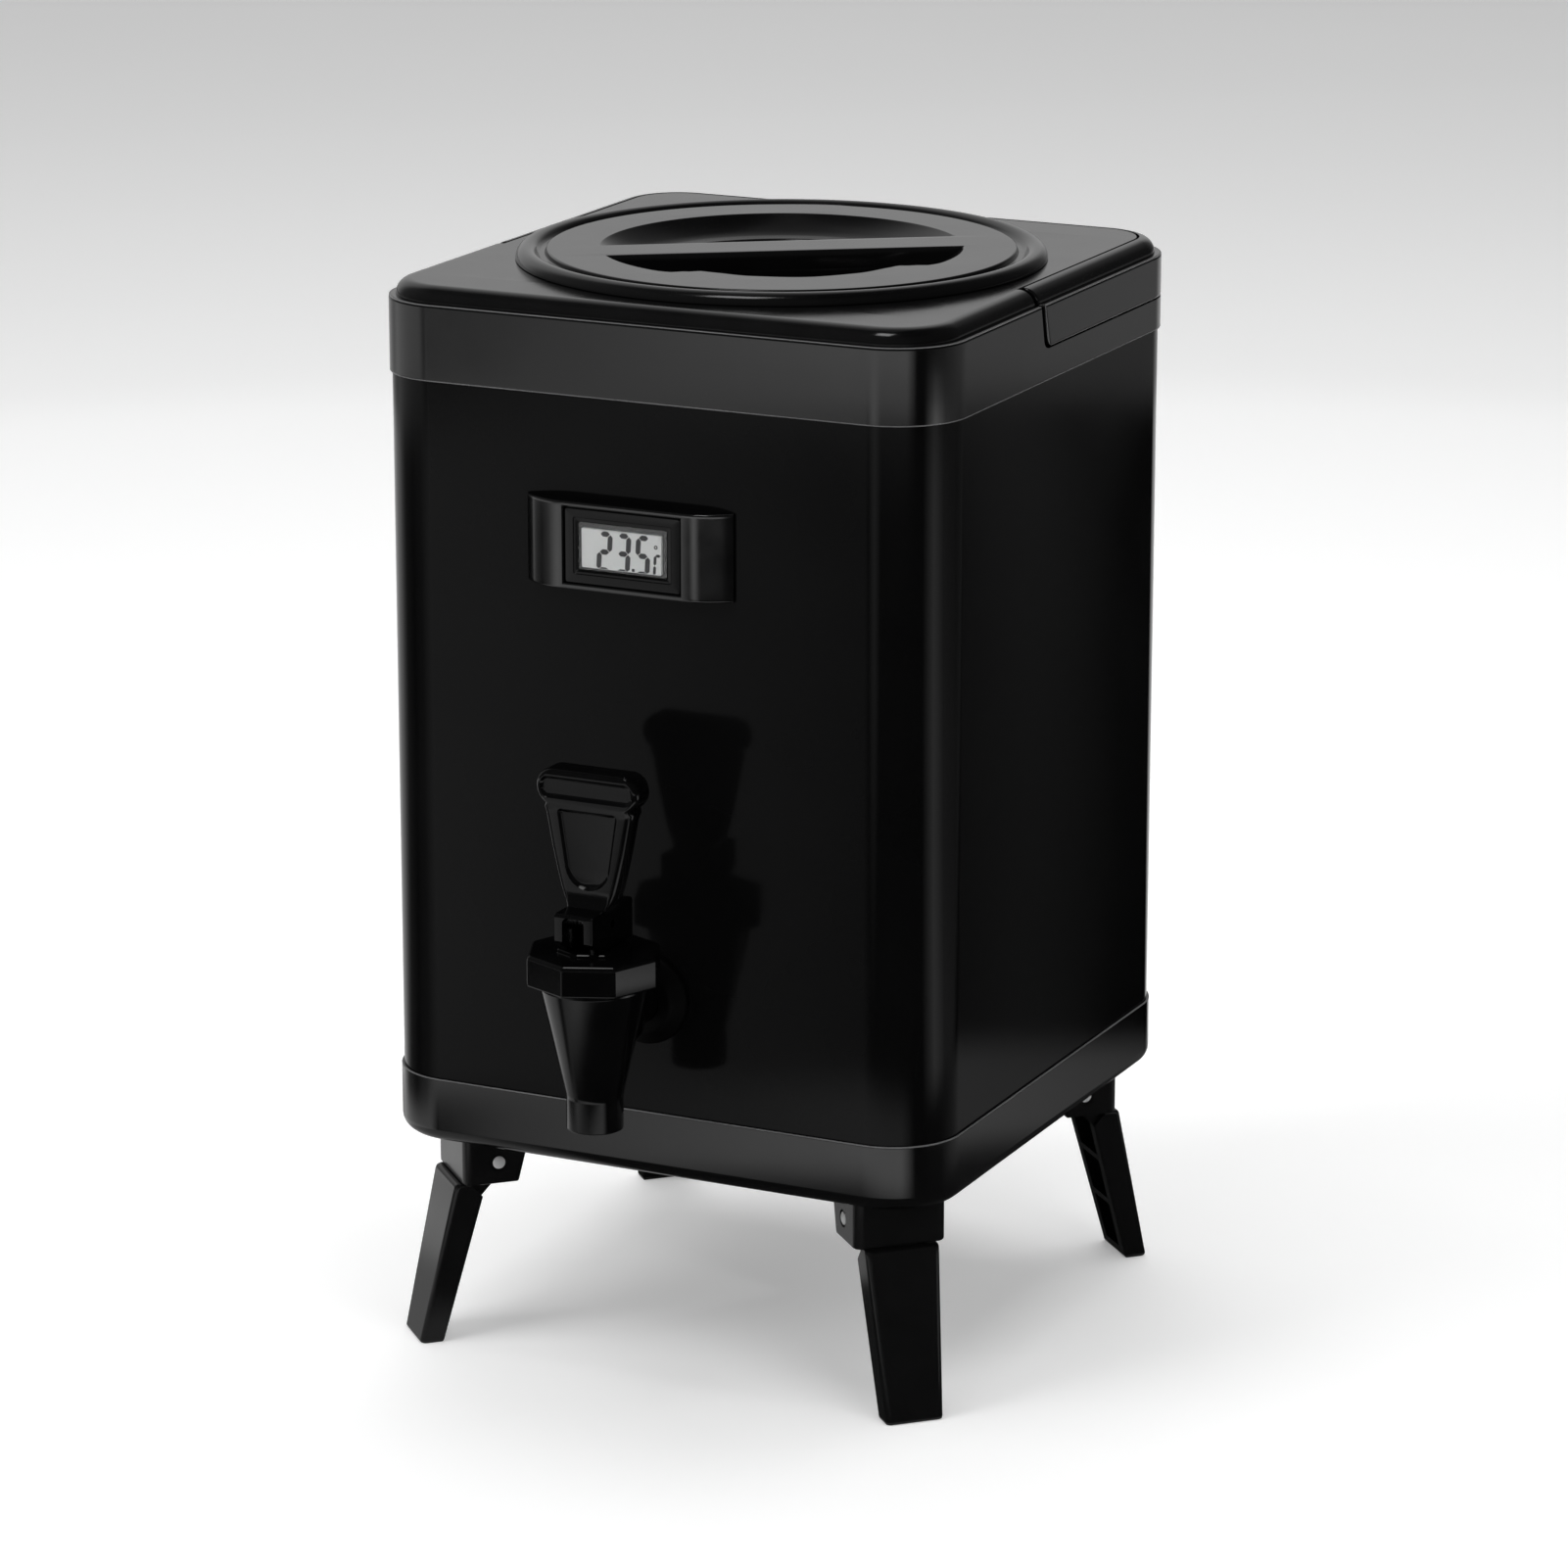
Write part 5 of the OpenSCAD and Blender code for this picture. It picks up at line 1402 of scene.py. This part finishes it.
    def _leg(self) -> None:
        """Lofts the leg, joins the tangs that carry it, and cuts its channel and the rivet's hole."""
        top, knee = self.top, self.knee
        across, ahead, rim = 0.4, 0.6, 2
        loops = []
        for z, by in ((0.0, 1.0), (0.3, 0.4), (1.0, 0.0), (20.0, 0.0), (40.0, 0.0), (knee, 0.0), (top - 3.5, 0.0),
                      (top - 1.4, 0.0), (top - 0.6, 0.25), (top - 0.15, 0.8), (top, 1.5)):
            half, back = self._half(z), self._back(z)
            outline = rounded(lying((back, half, 0.6), (self._face(z), half, 2.2)), 6)
            loops.append([(x - by * ahead * (x > back + rim), y, z) for x, y in inset(outline, by * across)])
        mesh = PieceMesh()
        mesh.loft(loops)
        first, second = (share * top for share in self.ribs_at)
        bays = []
        for low, high in ((4.0, first), (first + self.rib, second), (second + self.rib, top - 2.5)):
            bays.append(PieceMesh())
            bays[-1].loft([lifted(rounded(lying((self._back(z) - 4, self._half(z) - self.wall, 0),
                                                (self._face(z) - self.plate_t, self._half(z) - self.wall, 0))), z)
                           for z in (low, min(high, knee), high)])
        x, _, z = self.hinge
        side = arc((x, z), self.eye_r, 0.0, 180.0 + self.splay, 16)
        side += [(self._back(knee) + 0.3, knee), (self._face(knee) - 5, knee - 4), (self._face(top) - 5, top - 1.6),
                 (x + self.eye_r, top)]
        tangs = []
        for sign in (-1, 1):
            tangs.append(PieceMesh())
            tangs[-1].loft([[(px, sign * y, pz) for px, pz in side] for y in self.tang])
        hole = self._bar(self.pin_r + self.pin_room, -self.bracket_w, self.bracket_w)
        mesh.piece(f"leg_{self.name}_dressed", LEG_PLASTIC, Body(f"leg_{self.name}"), Slot.LEG, [f"leg_{self.name}"],
                   join=tangs, cut=[*bays, hole], turned=self.direction, sharp=35.0)

    def _rivet(self) -> None:
        """Turns the domed rivet through the bracket."""
        end = self.bracket_w / 2 + self.pin_proud
        line = [(r, down - end) for r, down in self.dome] + [(r, end - down) for r, down in reversed(self.dome)]
        mesh = PieceMesh()
        mesh.turn(line, self.hinge, along="y", steps=32, closed=False)
        mesh.piece(f"rivet_{self.name}", RIVET_STEEL, Body.MAIN, Slot.STEEL, [f"leg_pin_{self.name}"],
                   turned=self.direction)


LEGS = (Leg("front_left", 225.0), Leg("front_right", 315.0), Leg("rear_left", 135.0), Leg("rear_right", 45.0))


@dataclass(frozen=True)
class KeptNodes:
    """The finish of CAD nodes that stay as they are."""

    finish: Finish
    names: tuple[str, ...]

    def dress(self, nodes: dict[str, bpy.types.Object]) -> None:
        """Gives each node its finish."""
        for name in self.names:
            nodes[name].data.materials.clear()
            nodes[name].data.materials.append(self.finish.material())
            log.info("%s: kept, %s", name, self.finish.name)


KEPT = (
    KeptNodes(TANK_STEEL, ("inner_liner",)),
    KeptNodes(RIGID_FOAM, ("foam_insulation", "lid_foam")),
    KeptNodes(INNER_PLASTIC, ("lid_plug", "tap_nut")),
    KeptNodes(PALE_SILICONE, ("lid_gasket", "tap_washer", "tap_seat")),
    KeptNodes(PIN_STEEL, ("handle_pins", "thermo_cells", "thermo_probe", "tap_stem", "tap_lever_pin",
                          "bracket_screws")),
    KeptNodes(BLACK_RUBBER, ("probe_lead",)),
)


# Stage


def spread(stops: Stops, low: float, high: float, gain: float = 1.0) -> list[Point2]:
    """Brings stops from a range to places from 0 to 1, and their levels down by a gain."""
    return [((at - low) / (high - low), level / gain) for at, level in stops]


@dataclass
class ReflectorCard:
    """A card on the floor that only reflections see: paler and darker sectors round the object.

    Azimuths are in degrees from the front towards the right, levels are brightness. Each ring of the card is what one
    height of the object mirrors: the close ring the tap's cone, the edges' ring the tray and the collar, and the middle
    ring the jacket. The stripes shade what the flat front and the flat right side mirror, by the place along them. Each
    eye is where the camera's mirror image in that face stands over the floor.
    """

    reach: float = 4.0
    height: float = 0.0012
    sides: int = 64
    gain: float = 2.0
    centre: Point2 = (0.06, -0.06)
    front_eye: Point2 = (0.997, 1.834)
    front_y: float = -0.117
    side_eye: Point2 = (-0.761, -2.068)
    side_x: float = 0.118
    close: Stops = ((-180, 0.02), (-120, 0.02), (-105, 0.4), (-35, 0.4), (-24, 0.03), (180, 0.03))
    edges: Stops = ((-180, 0.6), (-125, 0.5), (-104, 0.4), (-92, 0.8), (-44, 0.8), (-37, 0.25), (-33, 0.3), (-29, 1.25),
                    (40, 1.25), (54, 0.02), (86, 0.02), (104, 0.2), (122, 0.28), (160, 0.3), (170, 0.6), (180, 0.6))
    middle: Stops = ((-180, 1.0), (-115, 0.9), (-98, 0.9), (-82, 0.15), (-64, 0.02), (-48, 0.2), (-32, 0.95),
                     (-24, 1.0), (-5, 1.0), (4, 0.02), (66, 0.02), (74, 0.9), (83, 2.0), (92, 1.2), (100, 0.5),
                     (112, 0.3), (128, 0.13), (158, 0.12), (168, 1.0), (180, 1.0))
    edge_stripes: Stops = ((-1, 1.0), (-0.13, 1.0), (-0.11, 0.22), (0, 0.62), (0.1, 1.0), (1, 1.0))
    middle_stripes: Stops = ((-1, 1.0), (-0.11, 1.0), (0, 0.64), (0.1, 0.27), (0.13, 0.2), (0.2, 0.05), (0.34, 1.0),
                             (1, 1.0))
    side_stripes: Stops = ((-1, 1.0), (-0.03, 1.0), (0.065, 0.05), (0.1, 0.0), (1, 0.0))
    side_sector: Stops = ((-180, 0.0), (112, 0.0), (124, 1.0), (160, 1.0), (166, 0.0), (180, 0.0))
    near: Stops = ((0.29, 0.0), (0.33, 1.0))
    band: Stops = ((0.42, 0.0), (0.47, 1.0), (1.8, 1.0), (1.92, 0.0))

    def build(self) -> None:
        """Lays the card."""
        mesh = bpy.data.meshes.new("reflector")
        mesh.from_pydata(lifted(circle(self.reach, self.sides), 0.0), [], [tuple(range(self.sides))])
        mesh.materials.append(self._paint())
        card = placed("reflector", mesh)
        card.location = (0.0, AXIS_Y * MM, self.height)
        card.visible_camera = card.visible_diffuse = card.visible_shadow = card.visible_transmission = False

    def _paint(self) -> bpy.types.Material:
        """Makes the card's glow, by azimuth, distance and stripes.

        Returns:
            The card's material.
        """
        paint = bpy.data.materials.new("reflector")
        paint.use_nodes = True
        tree = paint.node_tree
        tree.nodes.remove(tree.nodes[SHADER])
        nodes = Nodes(tree)
        place = nodes.add("TexCoord").outputs["Object"]
        x, y, _ = nodes.split(place)
        turn = nodes.azimuth(x, y)
        far = nodes.add("VectorMath", {0: place, 1: (*self.centre, 0.0)}, "DISTANCE").outputs["Value"]
        out = nodes.maths("DIVIDE", far, self.reach)
        eye_x, eye_y = self.front_eye
        lean = nodes.maths("DIVIDE", nodes.maths("SUBTRACT", x, eye_x), nodes.maths("SUBTRACT", eye_y, y))
        front = nodes.maths("MULTIPLY_ADD", lean, (eye_y - self.front_y) / 2, (1 + eye_x) / 2)
        eye_x, eye_y = self.side_eye
        lean = nodes.maths("DIVIDE", nodes.maths("SUBTRACT", y, eye_y), nodes.maths("SUBTRACT", x, eye_x))
        side = nodes.maths("MULTIPLY_ADD", lean, (self.side_x - eye_x) / 2, (1 + eye_y) / 2)
        close, edges, middle = (nodes.ramp(turn, spread(stops, -180, 180, self.gain))
                                for stops in (self.close, self.edges, self.middle))
        sector = nodes.ramp(turn, spread(self.side_sector, -180, 180))
        side_shade = nodes.ramp(side, spread(self.side_stripes, -1, 1))
        edge_shade, middle_shade = (nodes.ramp(front, spread(stops, -1, 1))
                                    for stops in (self.edge_stripes, self.middle_stripes))
        near, band = (nodes.ramp(out, spread(stops, 0, self.reach)) for stops in (self.near, self.band))
        level = nodes.blend(near, close, nodes.maths("MULTIPLY", edges, edge_shade))
        shade = nodes.blend(sector, middle_shade, nodes.maths("MULTIPLY", middle_shade, side_shade))
        level = nodes.blend(band, level, nodes.maths("MULTIPLY", middle, shade))
        glow = nodes.add("Emission", {"Strength": nodes.maths("MULTIPLY", level, self.gain)})
        nodes.feed(tree.nodes["Material Output"], {"Surface": glow.outputs["Emission"]})
        return paint


class SoftBox(NamedTuple):
    """A square soft light: its place, its side, its power in watts and whether glossy surfaces mirror it."""

    name: str
    place: Point3
    size: float
    power: float
    mirrored: bool = False

    def hang(self, aim: Point3) -> None:
        """Hangs the light and points it at a place."""
        lamp = bpy.data.lights.new(self.name, "AREA")
        lamp.energy = self.power
        lamp.size = self.size
        light = placed(self.name, lamp)
        light.location = self.place
        light.visible_glossy = self.mirrored
        light.rotation_euler = (Vector(aim) - Vector(self.place)).to_track_quat("-Z", "Y").to_euler()


@dataclass
class Studio:
    """The pale floor, the soft lights and the camera at the photograph's angle.

    The surround's brightness is listed by height and by azimuth in degrees from the front towards the right.
    """

    azimuth: float = 25.72
    elevation: float = 15.56
    distance: float = 2.383
    target: Point3 = (0.0008, 0.0346, 0.2109)
    lens: float = 139.4
    sensor: float = 36.0
    sight: float = 100.0
    floor: float = 24.0
    floor_lift: float = 0.3
    surround: Stops = ((0.0, 0.5), (0.27, 0.6), (0.7, 0.55), (0.88, 0.2), (1.0, 0.08))
    around: Stops = ((-180, 0.25), (-166, 1.0), (-120, 1.0), (-100, 0.25), (-40, 0.15), (40, 0.1), (60, 0.06),
                     (160, 0.06), (180, 0.25))
    lit: Point3 = (0.0, 0.0, 0.25)
    lights: tuple[SoftBox, ...] = (
        SoftBox("key", (-1.5, -1.7, 2.0), 1.6, 34.0), SoftBox("fill", (1.9, -1.2, 1.5), 1.4, 16.0),
        SoftBox("top", (0.0, 0.5, 2.4), 2.0, 38.0), SoftBox("crown", (-0.1, -0.75, 2.2), 0.6, 4.5, mirrored=True))

    def build(self) -> None:
        """Makes the stage."""
        scene = bpy.context.scene
        scene.view_settings.view_transform = "Standard"
        self._world(scene)
        self._floor()
        ReflectorCard().build()
        self._camera(scene)
        for light in self.lights:
            light.hang(self.lit)

    def _world(self, scene: bpy.types.Scene) -> None:
        """Sets a surround that is pale at eye level behind the object and dim overhead and beside it."""
        world = bpy.data.worlds.new("studio")
        world.use_nodes = True
        nodes = Nodes(world.node_tree)
        x, y, z = nodes.split(nodes.add("TexCoord").outputs["Generated"])
        level = nodes.maths("MULTIPLY", nodes.ramp(z, self.surround),
                            nodes.ramp(nodes.azimuth(x, y), spread(self.around, -180, 180)))
        nodes.feed(world.node_tree.nodes["Background"], {"Color": level, "Strength": 1.0})
        scene.world = world

    def _floor(self) -> None:
        """Lays the floor under the feet, paler to the eye than to the object."""
        mesh = bpy.data.meshes.new("floor")
        mesh.from_pydata(lifted(box_loop(self.floor, self.floor, 0), 0.0), [], [(0, 1, 2, 3)])
        paint = STUDIO_FLOOR.material()
        nodes = Nodes(paint.node_tree)
        ray = nodes.add("LightPath").outputs
        seen = nodes.maths("ADD", ray["Is Camera Ray"], ray["Is Transmission Ray"])
        nodes.feed(paint.node_tree.nodes[SHADER], {"Emission Color": (1.0, 1.0, 1.0, 1.0),
                                                   "Emission Strength": nodes.maths("MULTIPLY", seen, self.floor_lift)})
        mesh.materials.append(paint)
        placed("floor", mesh)

    def _camera(self, scene: bpy.types.Scene) -> None:
        """Stands the camera at the photograph's angle."""
        camera = placed("camera", bpy.data.cameras.new("camera"))
        a, e = math.radians(self.azimuth), math.radians(self.elevation)
        away = Vector((math.sin(a) * math.cos(e), -math.cos(a) * math.cos(e), math.sin(e)))
        camera.location = Vector(self.target) + away * self.distance
        camera.rotation_euler = (-away).to_track_quat("-Z", "Y").to_euler()
        camera.data.lens = self.lens
        camera.data.sensor_width = self.sensor
        camera.data.clip_end = self.sight
        scene.camera = camera


def main() -> None:
    """Loads the frame, builds every sub-assembly on it and sets the stage."""
    logging.basicConfig(level=logging.INFO, format="%(name)s %(message)s")
    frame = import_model()
    Studio().build()
    for assembly in (Shell(), Top(), Lid(), Thermometer(), Tap(), *LEGS):
        assembly.build()
    for kept in KEPT:
        kept.dress(frame["nodes"])


if __name__ == "__main__":
    main()
